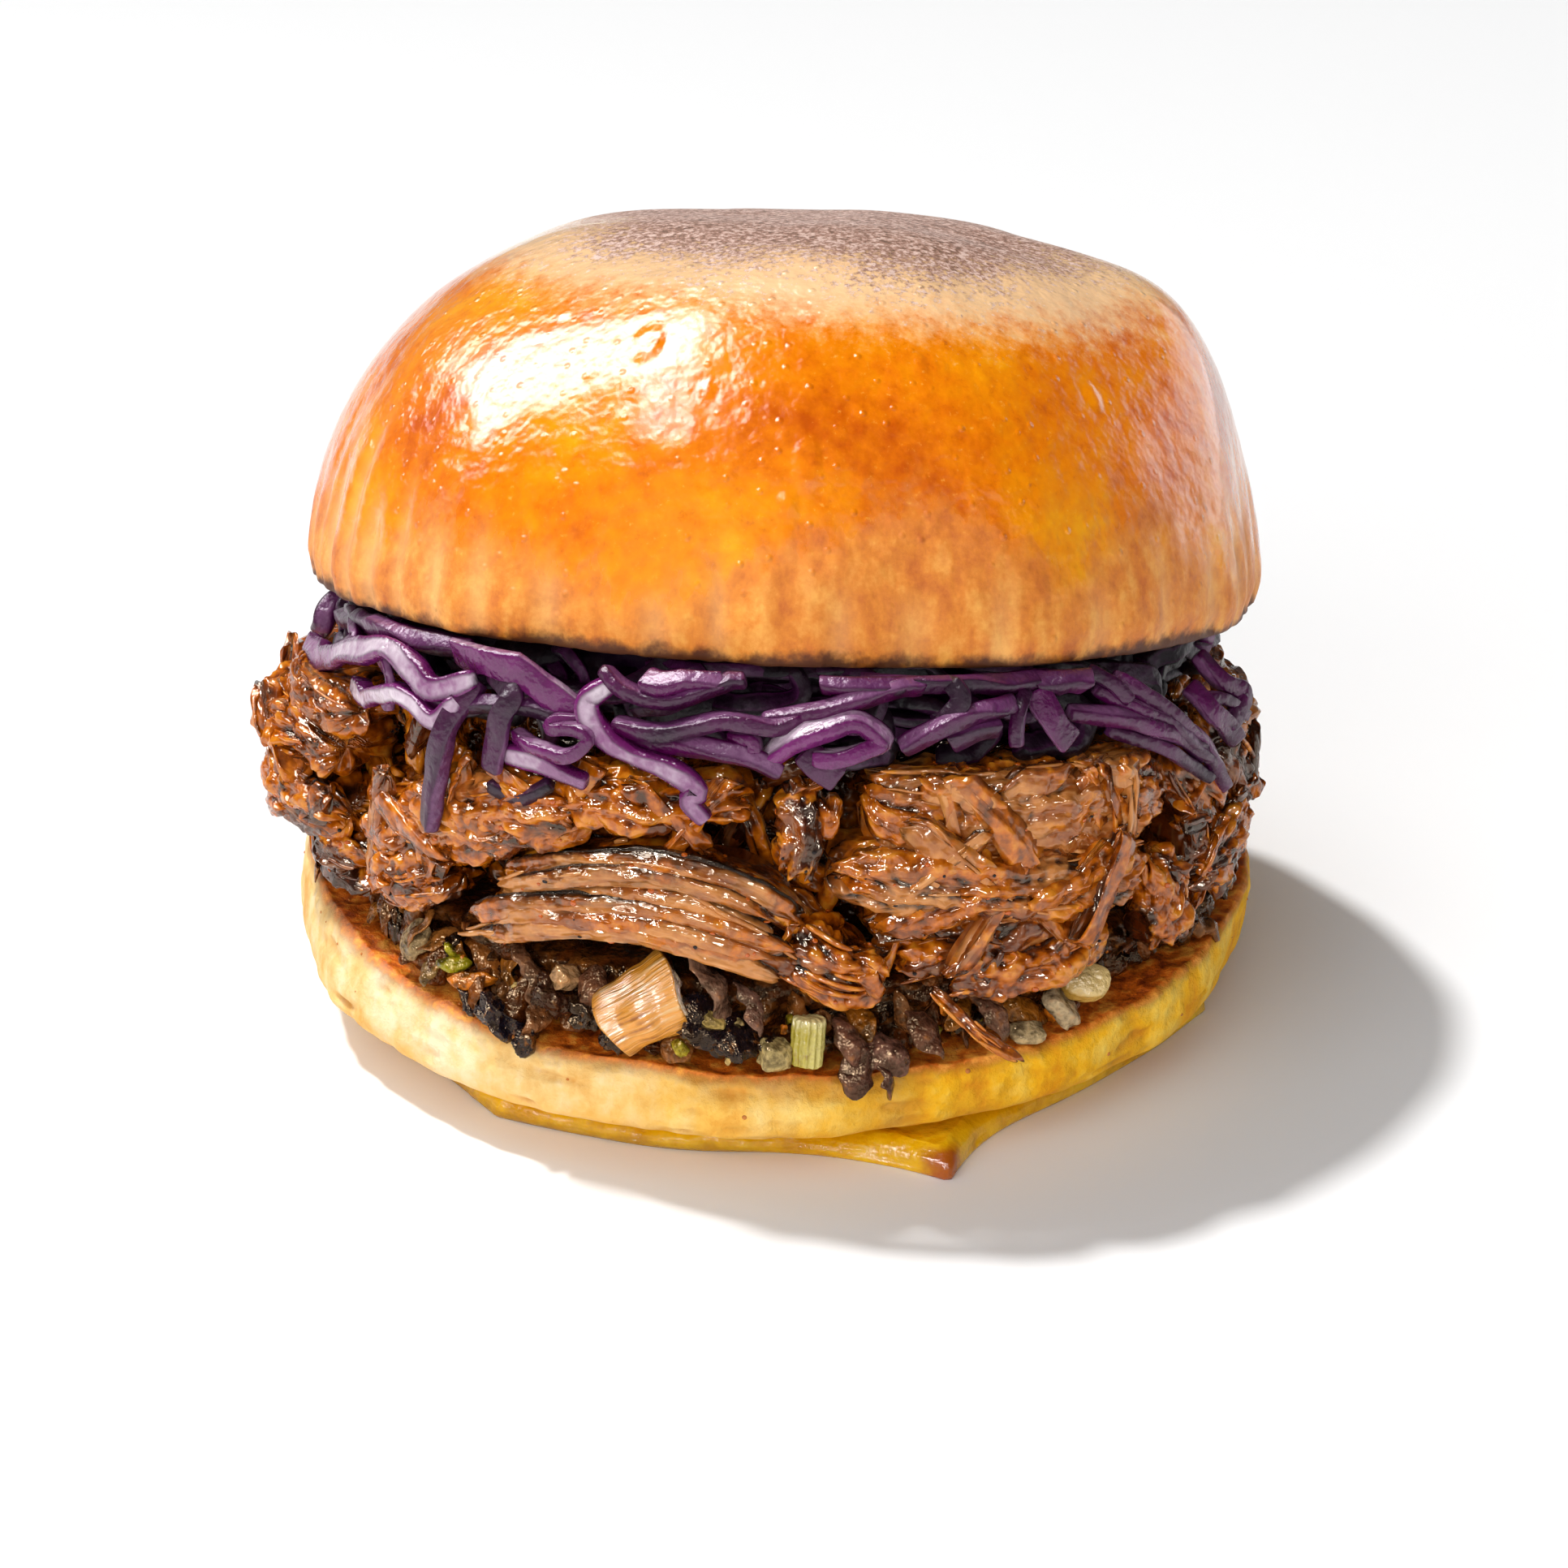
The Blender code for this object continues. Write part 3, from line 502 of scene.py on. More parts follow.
class Finish(Maker):
    """A material round one Principled shader."""

    def __init__(self, name, **constants):
        self.material = bpy.data.materials.new(name)
        self.material.use_nodes = True
        self.tree = self.material.node_tree
        self.shader = self.tree.nodes["Principled BSDF"]
        self.wear(**constants)

    def wear(self, **sockets):
        """Sets the shader's inputs and gives the material."""
        for socket, value in sockets.items():
            self.put(self.shader, socket.replace("_", " "), value)
        return self.material

    def place(self):
        """The object's own coordinates, in metres."""
        return self.node("ShaderNodeTexCoord", output="Object")

    def mark(self, name, output="Fac"):
        """A mark that the shape carries."""
        return self.node("ShaderNodeAttribute", {"attribute_name": name}, output=output)

    def marks(self, name):
        """The three numbers of a vector mark."""
        return self.parts(self.mark(name, "Vector"))

    def stretch(self, vector, scale):
        """A vector scaled along each axis."""
        return self.node("ShaderNodeVectorMath", {"operation": "MULTIPLY"}, {0: vector, 1: scale})

    def noise(self, size, detail=2.0, roughness=0.5):
        """Noise from 0 to 1 whose bumps are about size millimetres wide."""
        return self.node("ShaderNodeTexNoise", None, {"Vector": self.place(), "Scale": 1.0 / (size * MM),
                                                      "Detail": detail, "Roughness": roughness})

    def streaks(self, vector, scale, detail, size=1.0):
        """Noise along a vector that is stretched first."""
        sockets = {"Vector": self.stretch(vector, scale), "Scale": 1.0 / size, "Detail": detail,
                   "Roughness": 0.5}
        return self.node("ShaderNodeTexNoise", None, sockets)

    def blend(self, first, second, share):
        """One colour turning into another; each is a wire or a display colour."""
        first, second = (value if isinstance(value, Wire) else paint(*value) for value in (first, second))
        return self.node("ShaderNodeMix", {"data_type": "RGBA"}, {"Factor": share, 6: first, 7: second},
                         output=2)

    def ramp(self, value, *stops):
        """A run of colours along a value; each stop is a position and a display colour."""
        made = self.node("ShaderNodeValToRGB", None, {0: value})
        elements = made.socket.node.color_ramp.elements
        while len(elements) < len(stops):
            elements.new(1.0)
        for element, (position, *colour) in zip(elements, stops):
            element.position = position
            element.color = (*paint(*colour), 1.0)
        return made

    def relief(self, height, depth, under=None, strength=1.0):
        """A bumped normal, depth in millimetres."""
        sockets = {"Height": height, "Distance": depth * MM, "Strength": strength}
        if under is not None:
            sockets["Normal"] = under
        return self.node("ShaderNodeBump", None, sockets)


# ---------------------------------------------------------------- bun

LID_PLACE = turn("X", -LID_LEAN) @ turn("Y", LID_ROLL)
LID_SIDES = 580
LID_ROWS = 142

# Upright folds of the lid's side: bearing, half width in degrees, depth, height up the side.
LID_FOLDS = (
    (-168, 1.6, 0.7, 17), (-162, 1.2, 0.5, 22), (-157, 1.8, 0.8, 19), (-151, 1.3, 0.6, 24),
    (-146, 1.6, 0.7, 15), (-140, 1.2, 0.4, 20), (-133, 1.8, 0.5, 12), (-126, 1.4, 0.4, 16),
    (-117, 1.8, 0.4, 12), (-104, 1.6, 0.4, 10), (-97, 1.2, 0.4, 14), (-92, 1.6, -0.5, 15),
    (-84, 1.4, 0.35, 10), (-76, 2.2, 0.3, 9), (-66, 1.6, 0.35, 11), (-52, 1.8, 0.35, 10),
    (-41, 1.4, 0.4, 13), (-30, 1.6, 0.45, 16), (-22, 1.4, 0.5, 20), (-14, 1.5, 0.6, 23), (-7, 1.3, 0.6, 20),
    (1, 1.7, 0.6, 18), (12, 2, 0.5, 16), (27, 2.4, 0.5, 17), (44, 2, 0.5, 15), (60, 2.6, 0.5, 18),
    (79, 2.2, 0.5, 14), (96, 2.6, 0.5, 17), (115, 2, 0.6, 15), (133, 2.4, 0.5, 18), (150, 2, 0.5, 15),
    (165, 2, 0.6, 19), (178, 1.6, 0.5, 16),
)
# Blisters in the glaze: bearing and distance across the lid, radius, height.
LID_BLISTERS = (
    (-111, 42.3, 1.9, 0.2), (-88, 50.1, 1.6, 0.24), (-72, 43, 1, 0.18), (-118, 45, 1.1, 0.1),
    (-90, 52.6, 1.3, 0.28), (-45, 46, 1.2, 0.25), (-101, 46, 0.9, 0.2), (-128, 40, 0.8, 0.2),
)
LID_LUMP = np.array((41.0, -6.0, 32.0))     # middle of a broad swelling low on the right
CHAR_MIDDLE = (2.5, -2.0)
CHAR_REACH = (33.0, 31.5)


def lid_section():
    """Radius and height of each ring of the lid, from the middle of its cut face to its top."""
    rise = np.radians(np.linspace(0.0, 90.0, 900))
    wide, tall = LID_SHOULDER
    radius = np.concatenate(((53.6, 54.1, 54.4, 54.6, 54.8), LID_RADIUS * np.cos(rise) ** (2 / wide)))
    height = np.concatenate(((0.0, 0.12, 0.55, 1.3, 2.2), LID_WAIST + LID_DOME * np.sin(rise) ** (2 / tall)))
    gone = np.concatenate(((0.0,), np.cumsum(np.hypot(np.diff(radius), np.diff(height)))))
    even = np.linspace(0.0, gone[-1] - 0.5, LID_ROWS)
    cut = np.array((4.0, 14.0, 24.0, 33.0, 40.0, 45.0, 48.5, 51.0, 52.7))
    return (np.concatenate((cut, np.interp(even, gone, radius)))[:, None],
            np.concatenate((0.0 * cut, np.interp(even, gone, height)))[:, None])


def build_lid(finish):
    """Lid of the bun: a glazed dome with folds low on its side, blisters and a charred top."""
    radius, height = lid_section()
    bearing = bearings(LID_SIDES)
    grid = polar(bearing, height, radius)
    side = ease(-0.1, 0.6, height)
    rise = np.clip((height - LID_WAIST) / LID_DOME, 0.0, 1.0)
    fade = np.maximum(0.0, 1.0 - rise / 0.75)
    ripple = wave(bearing, 11, 0.6, 0.30) + wave(bearing, 17, 2.1, 0.26) + wave(bearing, 5, 1.0, 0.35)
    uneven = 0.75 * relief(grid, 24.0, 3) + 0.35 * relief(grid, 11.0, 8) - 0.25
    lump = 3.4 * np.exp(-((grid - LID_LUMP) ** 2).sum(axis=-1) / 15.0 ** 2)
    waver = 3.0 * relief(grid * (0.3, 0.3, 1.0), 12.0, 21)
    fold = 0.0 * grid[..., 0]
    for at, half, depth, reach in LID_FOLDS:
        trough = bell(apart(bearing + waver * 0.35, at) / half)
        fold = fold + depth * trough * ease(reach, reach * 0.35, height + 1.2 * waver) * side
    blister = 0.0 * fold
    for at, across, size, tall in LID_BLISTERS:
        gap = np.linalg.norm(grid[..., :2] - polar(at, 0.0, across)[:2], axis=-1) / size
        dome = ease(1.0, 0.55, gap) - 0.35 * bell((gap - 1.15) / 0.25) - 0.4 * ease(0.5, 0.0, gap)
        blister = blister + tall * dome * (height > 5.0)
    crumb = 0.35 * rugged(grid, 3.2, 31) * (1.0 - side)
    pucker = 0.10 * relief(grid, 2.6, 40) * fade
    push = (ripple * fade + uneven * rise + lump + pucker) * side - fold + blister
    placed = grid + normals_of(grid) * push[..., None]
    placed[..., 2] += np.maximum(crumb, 0.0) * (height < 0.05)
    border = 9.5 + 3.5 * relief(grid * (1, 1, 0.15), 17.0, 51) + 2.0 * relief(grid * (1, 1, 0.3), 6.0, 52)
    border += 4.5 * bell(apart(bearing, -52.0) / 30.0) - 2.5 * bell(apart(bearing, -112.0) / 17.0)
    gaps = (grid[..., :2] - CHAR_MIDDLE) / CHAR_REACH
    inside = (1.0 - np.hypot(gaps[..., 0], gaps[..., 1])) * 28.0 - 60.0 * ease(30.0, 20.0, height)
    return one_shape("glazed_lid", finish, placed @ LID_PLACE.T + LID_CENTRE,
                     crust=together(height - border, inside, np.clip(fold, 0.0, 1.0)),
                     height=np.broadcast_to(height, fold.shape))


def glaze_finish():
    """Egg-glazed crust: amber and glossy above, paler and matte low on the side, charred on top."""
    finish = Finish("glazed_crust", Coat_Roughness=0.10, Coat_IOR=1.45, Specular_IOR_Level=0.6)
    above, inside, fold = finish.marks("crust")
    height = finish.mark("height")
    broad = finish.noise(16.0, 3.0)
    fine = finish.noise(2.4, 5.0, 0.6)
    speck = finish.noise(0.9, 5.0, 0.75)
    grit = finish.noise(0.6, 2.0, 0.7)
    upright = finish.streaks(finish.place(), (420.0, 420.0, 130.0), 4.0)
    amber = finish.ramp(broad * 0.70 + fine * 0.40,
                        (0.36, 200, 84, 0), (0.50, 232, 120, 0), (0.64, 244, 144, 0), (0.80, 252, 174, 10))
    amber = finish.blend(amber, (255, 196, 84), (speck * 0.6 + grit * 0.4).between(0.57, 0.70) * 0.40)
    amber = finish.blend(amber, (186, 76, 0), (speck * 0.6 + fine * 0.4).between(0.45, 0.34) * 0.35)
    pale = finish.ramp(fine * 0.25 + speck * 0.25 + upright * 0.5,
                       (0.38, 196, 98, 16), (0.50, 222, 130, 30), (0.62, 240, 166, 70))
    band = (above + (broad - 0.5) * 12.0 + (upright - 0.5) * 14.0).between(4.0, -4.0)
    skin = finish.blend(amber, pale, band * 0.92)
    skin = finish.blend(skin, (248, 206, 140), fold * 0.55)
    halo = (inside + (fine - 0.5) * 7.0 + (speck - 0.5) * 6.0).between(-7.0, -0.5)
    skin = finish.blend(skin, (255, 218, 168), halo * 0.8)
    burnt = (inside + (speck - 0.5) * 40.0 + (broad - 0.5) * 22.0).between(0.0, 7.0)
    ash = finish.ramp(grit * 0.5 + speck * 0.5,
                      (0.40, 64, 30, 26), (0.49, 150, 104, 92), (0.58, 222, 192, 182))
    skin = finish.blend(skin, ash, burnt * 0.9)
    edge = (height + (fine - 0.5) * 3.4 + (broad - 0.5) * 3.0).between(1.9, 0.2)
    skin = finish.blend(skin, (62, 24, 6), edge * 0.93)
    pits = finish.node("ShaderNodeTexVoronoi", None, {"Vector": finish.place(), "Scale": 1 / (2.6 * MM)})
    peel = finish.relief(finish.noise(2.6, 2.0), 0.5, strength=0.8)
    pimple = finish.relief(pits.between(0.20, 0.02) + speck * 0.35, 0.13, under=peel)
    matte = 1.0 - (1.0 - band * 0.9) * (1.0 - burnt * 0.8) * (1.0 - edge * 0.9)
    return finish.wear(Base_Color=skin, Roughness=0.15 + matte * 0.5, Coat_Weight=0.6 - matte * 0.6,
                       Normal=pimple)


HEEL_SIDES = 560
HEEL_WALL_ROWS = 52
HEEL_DENTS = 260


def heel_radius(rise):
    """Radius of the heel at a share of its height."""
    under = np.clip(1 - rise / HEEL_BULGE_AT, 0, 1)
    low = HEEL_BULGE_RADIUS - (HEEL_BULGE_RADIUS - HEEL_BASE_RADIUS) * under ** 4
    over = np.clip((rise - HEEL_BULGE_AT) / (1.0 - HEEL_BULGE_AT), 0.0, 1.0)
    return low - (HEEL_BULGE_RADIUS - HEEL_RIM_RADIUS) * over ** 2


def build_heel(finish):
    """Heel of the bun: a soft pale wall with dents and pores, and a toasted, stained cut face."""
    draw = np.random.default_rng(4).uniform
    base = np.linspace(0.05, 0.96, 7)
    face = np.concatenate((np.linspace(0.985, 0.80, 16), np.linspace(0.76, 0.05, 9)))
    climb = np.linspace(0.0, 1.0, HEEL_WALL_ROWS) ** 1.25
    rise = np.concatenate((0.0 * base, climb, 1.0 + 0.0 * face))[:, None]
    shrink = np.concatenate((base, np.ones(HEEL_WALL_ROWS), face))[:, None]
    bearing = bearings(HEEL_SIDES)
    wall = ((rise > 0.0) & (shrink == 1.0)) * 1.0
    swell = wave(bearing, 7, 0.4, 0.35) + wave(bearing, 12, 1.9, 0.22)
    grid = polar(bearing, 0.0, (heel_radius(rise) + swell * np.sin(np.pi * rise)) * shrink)
    grid[..., 0] -= HEEL_SHIFT * (1.0 - rise)
    grid[..., 2] = HEEL_BASE_Z + rise * (heel_z(grid[..., 0], grid[..., 1]) - HEEL_BASE_Z)
    tall = grid * (1.0, 1.0, 0.35)
    push = 0.50 * relief(tall, 12.0, 3) + 0.30 * relief(tall, 5.0, 4) + 0.16 * relief(grid, 2.4, 5) - 0.15
    for at in draw(-180.0, 180.0, HEEL_DENTS):
        level, wide, deep = draw(0.12, 0.95), draw(0.5, 2.6), draw(0.15, 0.60)
        around = np.radians(apart(bearing, at)) * 56.0 / wide
        push = push - deep * np.exp(-around ** 2 - ((rise - level) * 14.0 / draw(0.4, 1.1)) ** 2)
    torn = bell(apart(bearing, -86.0) / 8.0) * ease(0.55, 0.9, rise)
    push = push - torn * (0.5 + 0.9 * np.abs(relief(grid, 1.6, 17))) * wall
    push = push * wall * ease(1.0, 0.97, rise) * ease(0.0, 0.1, rise)
    out = unit(grid * (1, 1, 0))
    placed = grid + out * (push - 0.5 * ease(0.96, 1.0, rise) * wall)[..., None]
    crumb = 0.35 * np.abs(relief(grid, 1.5, 61)) + 0.5 * relief(grid, 7.0, 62)
    placed[..., 2] -= (crumb + 0.25) * (shrink < 1.0) * (rise == 1.0) * ease(1.0, 0.95, shrink)
    edge = polar(bearing, 0.0, 56.0)
    rim = 0.45 * relief(edge, 9.0, 44) + 0.25 * relief(edge, 3.5, 45)
    placed[..., 2] += (rim - 0.2) * ease(0.45, 1.0, rise) * ease(0.80, 0.95, shrink)
    inward = (1.0 - shrink) * 55.0 * (rise == 1.0) - (1.0 - rise) * 14.0
    return one_shape("soft_heel", finish, placed, crumb=together(inward, grid[..., 2], push))


def heel_finish():
    """Cream crumb wall, golden low down, with a toasted rim and a stained cut face. Painted shade makes the
    wall deeper golden on its right side and ochre in its dents.
    """
    finish = Finish("toasted_bread", Specular_IOR_Level=0.25)
    inward, height, dent = finish.marks("crumb")
    broad = finish.noise(13.0, 3.0)
    fine = finish.noise(1.8, 5.0, 0.65)
    patch = finish.noise(6.0, 3.0, 0.6)
    grain = finish.streaks(finish.place(), (1000.0, 1000.0, 260.0), 4.0, size=5.0)
    grain = grain * 0.4 + fine * 0.25 + patch * 0.35
    cream = finish.ramp(grain, (0.38, 228, 172, 92), (0.48, 242, 204, 136), (0.60, 250, 226, 184))
    # Painted light and shade: the wall is paler cream on its left, where the light falls, and deeper golden
    # on its right, in shade.
    golden_in_shade = finish.ramp(grain, (0.38, 236, 152, 0), (0.48, 252, 188, 26), (0.62, 255, 216, 96))
    rightward = finish.parts(finish.place())[0]
    cream = finish.blend(cream, golden_in_shade, (rightward + (broad - 0.5) * 0.03).between(-0.036, 0.022))
    golden = finish.blend(cream, (236, 166, 20), (height + (broad - 0.5) * 9.0).between(10.0, 3.5) * 0.6)
    # Painted shade: the wall darkens to ochre in its dents.
    wall = finish.blend(golden, (196, 126, 40), (dent * -1.0).between(0.2, 0.9) * 0.6)
    rim = (inward + (fine - 0.5) * 2.6 + (broad - 0.5) * 1.6).between(-1.3, 0.3)
    toast = finish.ramp(fine * 0.7 + broad * 0.3,
                        (0.34, 124, 42, 8), (0.48, 222, 106, 22), (0.60, 250, 166, 64))
    skin = finish.blend(wall, (150, 84, 34), (inward + (fine - 0.5) * 3.0).between(-2.4, -0.2) * 0.6)
    skin = finish.blend(skin, toast, rim)
    holes = finish.node("ShaderNodeTexVoronoi", {"feature": "SMOOTH_F1"},
                        {"Vector": finish.stretch(finish.place(), (400.0, 400.0, 260.0)), "Scale": 1.0,
                         "Smoothness": 0.4})
    pores = finish.relief(fine * 0.5 + holes * 0.5 + patch * 0.6, 1.1)
    return finish.wear(Base_Color=skin, Roughness=0.78 - rim * 0.3, Normal=pores)


# Section of the melted slice: distance in from its outline, height.
CHEESE_SECTION = np.array((
    (-46.0, 0.0), (-30.0, 0.0), (-12.0, 0.0), (-4.0, 0.0), (-1.2, 0.0), (-0.5, 0.05), (-0.1, 0.5), (0.0, 1.0),
    (-0.15, 1.6), (-0.6, 2.2), (-1.2, 2.6), (-1.8, 2.9), (-2.4, 3.1), (-3.0, 3.25), (-4.0, 3.2), (-5.2, 3.1),
    (-7.0, 3.0), (-12.0, 3.0), (-30.0, 3.0), (-46.0, 3.0)))


def build_cheese(finish):
    """Melted slice under the heel, its corners out from under it, dimpled where it sagged."""
    bearing = bearings(420)
    reach = sum(size * np.exp(-apart(bearing, corner) / spread) for corner, size, spread in CHEESE_CORNERS)
    outline = CHEESE_RADIUS + reach + wave(bearing, 9, 0.3, 0.35) + wave(bearing, 14, 1.2, 0.2)
    count = len(CHEESE_SECTION)
    fine = np.linspace(0, count - 1, 4 * count)
    back, rise = (np.interp(fine, np.arange(count), CHEESE_SECTION[:, n])[:, None] for n in range(2))
    grid = polar(bearing, rise, np.maximum(outline + back, 1.0))
    shown = ease(0.1, 1.0, rise) * ease(-9.0, -5.0, back)
    push = (0.45 * relief(grid, 6.0, 3) + 0.25 * relief(grid, 2.6, 9) - 0.2) * shown
    placed = grid + normals_of(grid) * push[..., None]
    placed[..., 2] = np.clip(placed[..., 2], 0.0, CHEESE_LIP)
    tip = bell(apart(bearing, CHEESE_CORNERS[0][0]) / 3.2) * ease(-4.5, -0.5, back)
    shade = ease(-84.0, -100.0, bearing) * ease(-170.0, -150.0, bearing)
    return one_shape("melted_slice", finish, placed, melt=together(tip, shade, rise))


def cheese_finish():
    """Glossy yellow melted cheese, browned at its tip and edge."""
    finish = Finish("melted_cheese", Specular_IOR_Level=0.6, Subsurface_Weight=0.1, Subsurface_Scale=0.002)
    tip, shade, rise = finish.marks("melt")
    fine = finish.noise(1.6, 4.0)
    mottle = finish.noise(9.0, 3.0) * 0.6 + fine * 0.4
    yellow = finish.ramp(mottle, (0.34, 212, 150, 0), (0.52, 238, 184, 0), (0.70, 248, 204, 30))
    brown = finish.blend(yellow, (176, 88, 12), (tip + (fine - 0.5) * 0.5).between(0.35, 0.9))
    olive = finish.blend(brown, (158, 112, 22), shade * (rise + fine).between(2.6, 0.6) * 0.7)
    return finish.wear(Base_Color=olive, Roughness=0.16 + fine * 0.15, Normal=finish.relief(mottle, 0.9))


# ---------------------------------------------------------------- lamb

HANGS_BEYOND = 52.0     # chunks and fibres further out than this may hang over the relish
TEAR_LEVELS = (0.34, 0.49, 0.64)
TEARS_A_LEVEL = 8
TEARS_BETWEEN = 165
LOOSE_STRANDS = 240


def torn_bar(batch, guide, width, depth, seed, tone, sauce, across=0.0, lift=0.0, span=(0.0, 1.0), sides=20,
             steps=60, lumpy=1.0, stringy=1.0, slant=0.0, back=1.0, free=EVERYWHERE, edge=0.0):
    """A piece of meat torn along its grain: rounded bundles and wet lumps on it, and blunt uneven ends."""
    angle = circle(sides)
    angle = angle + 0.42 * np.cos(angle)
    cosine, sine = np.cos(angle), np.sin(angle)
    share = shares(steps)
    rim = together(cosine, sine, 0.0) * width / 2
    ragged = [np.abs(relief(rim, 2.2, seed + n)) * min(0.25, 4.5 / guide.length) for n in (1, 2)]
    where = (span[0] + ragged[0]) * (1 - share) + (span[1] - ragged[1]) * share
    line, out, up = guide.at(where)
    gone = where * guide.length
    drift = together(gone, 0.0, 3.1 * seed)
    taper = 0.35 + 0.65 * np.sqrt(1.0 - np.abs(2 * share - 1) ** 7)
    warp = angle + 0.35 * relief(drift, 9.0, seed + 3)
    spots = together(np.cos(warp) * width / 2, np.sin(warp) * width / 2, gone)
    bundle = np.abs(relief(spots * (1, 1, 0.12), 2.3, seed + 4))
    fibre = np.abs(relief(spots * (1, 1, 0.13), 0.8, seed + 5))
    lumps = relief(spots * (1, 1, 0.5), 4.4, seed + 6)
    blobs = np.abs(relief(spots * (1, 1, 0.8), 2.0, seed + 7))
    knobs = np.abs(relief(spots, 1.5, seed + 11))
    ends = np.abs(2 * share - 1) ** 5
    wet = sauce - 0.1 + 0.55 * relief(spots * (1, 1, 0.6), 5.0, seed + 12)
    wet = wet + 0.20 * cosine * np.sign(up[..., 2]) + 0.35 * ends
    wet = np.clip(wet + 0.25 * lumps, 0.0, 1.0)
    swell = (stringy * (1.5 * (bundle - 0.22) + 0.4 * (fibre - 0.22))
             + lumpy * (0.75 * lumps + (0.5 + 0.6 * wet) * (blobs - 0.22) + 0.6 * (knobs - 0.22)))
    square = 1.0 / np.maximum(np.abs(cosine), np.abs(sine)) ** 0.35
    deep = np.where(sine < 0, back, 1.0)
    middle = across + slant * (share - 0.5) * guide.length + 0.12 * width * relief(drift, 11.0, seed + 8)
    upward = width / 2 * cosine * square * taper + cosine * swell + middle
    outward = depth / 2 * sine * square * taper * deep + sine * swell + lift
    outward = outward + 0.10 * depth * relief(drift, 8.0, seed + 9)
    rings = tuck(line + up * upward[..., None] + out * outward[..., None], RELISH_TOP, LAMB_TOP, free)
    # How far down in a groove each point lies; the finish paints shade from it.
    groove_shade = 0.50 - 1.5 * stringy * (bundle - 0.2)
    groove_shade = (groove_shade - lumpy * (0.30 * lumps + 0.7 * (blobs - 0.22) + 0.5 * (knobs - 0.22))
              + edge * cosine ** 4)
    pale = tone + 0.30 * relief(spots * (1, 1, 0.25), 2.4, seed + 10) + 0.2 * relief(rings, 9.0, 72)
    batch.sweep(rings, look=together(np.clip(groove_shade, 0, 1), wet, np.clip(pale, 0, 1)),
                grain=together(gone, angle * width / 2, seed * 1.7))


def bulge(middle, steepness):
    """How far a bundle stands off a chunk, at a share across it."""
    return math.sqrt(max(0.0, 1.0 - (steepness * middle) ** 2))


def build_chunks(finish):
    """The large torn chunks at the open front, and the shreds that stand off them."""
    draw = np.random.default_rng(21).uniform
    bodies, flakes = Batch(), Batch()
    for number, (stops, width, depth, tone, sauce, kind) in enumerate(LAMB_CHUNKS):
        guide = Guide(trail(stops))
        seed = 100 + 13 * number
        if kind == "strand":
            torn_bar(bodies, guide, width, depth, seed, tone, sauce, sides=16, steps=50, lumpy=0.2,
                     stringy=0.3, free=HANGS_BEYOND)
        elif kind == "strips":
            torn_bar(bodies, guide, 0.9 * width, 0.8 * depth, seed, 0.3 * tone, sauce, lift=-0.2 * depth,
                     sides=24, steps=50, lumpy=0.4, back=1.6, free=HANGS_BEYOND)
            count = max(2, round(width / 1.5))
            for strip in range(count):
                middle = (strip + 0.5) / count - 0.5
                torn_bar(bodies, guide, draw(2.0, 2.9), draw(2.2, 3.2), seed + 20 + 17 * strip,
                         np.clip(tone + draw(-0.15, 0.15), 0, 1), sauce + 0.3 * (middle > 0.2),
                         across=0.9 * width * middle + draw(-0.25, 0.25),
                         lift=0.30 * depth * bulge(middle, 1.7) + draw(-0.9, 0.5), sides=18, steps=64,
                         span=(draw(0.0, 0.10), draw(0.88, 1.0)), lumpy=0.25, stringy=0.3, free=HANGS_BEYOND,
                         edge=0.6)
        else:
            torn_bar(bodies, guide, width, depth, seed, tone, sauce, sides=48, steps=90, lumpy=1.1,
                     stringy=0.5, back=2.2, free=HANGS_BEYOND)
            for flake in range(round(1 + width * guide.length / 45.0)):
                middle, reach = draw(-0.45, 0.45), draw(0.12, 0.40)
                start = draw(0.0, 1.0 - reach)
                torn_bar(flakes, guide, draw(1.6, 4.0), draw(1.8, 3.2), seed + 20 + 17 * flake,
                         np.clip(tone + draw(-0.15, 0.25), 0, 1), np.clip(sauce + draw(-0.2, 0.4), 0, 1),
                         across=width * middle, lift=0.44 * depth * bulge(middle, 1.6) + draw(-0.7, 0.3),
                         span=(start, start + reach), sides=18, steps=32, lumpy=0.8, stringy=0.35,
                         slant=draw(-0.35, 0.35), free=HANGS_BEYOND)
    return bodies.make("lamb_chunks", finish), flakes.make("lamb_flakes", finish)


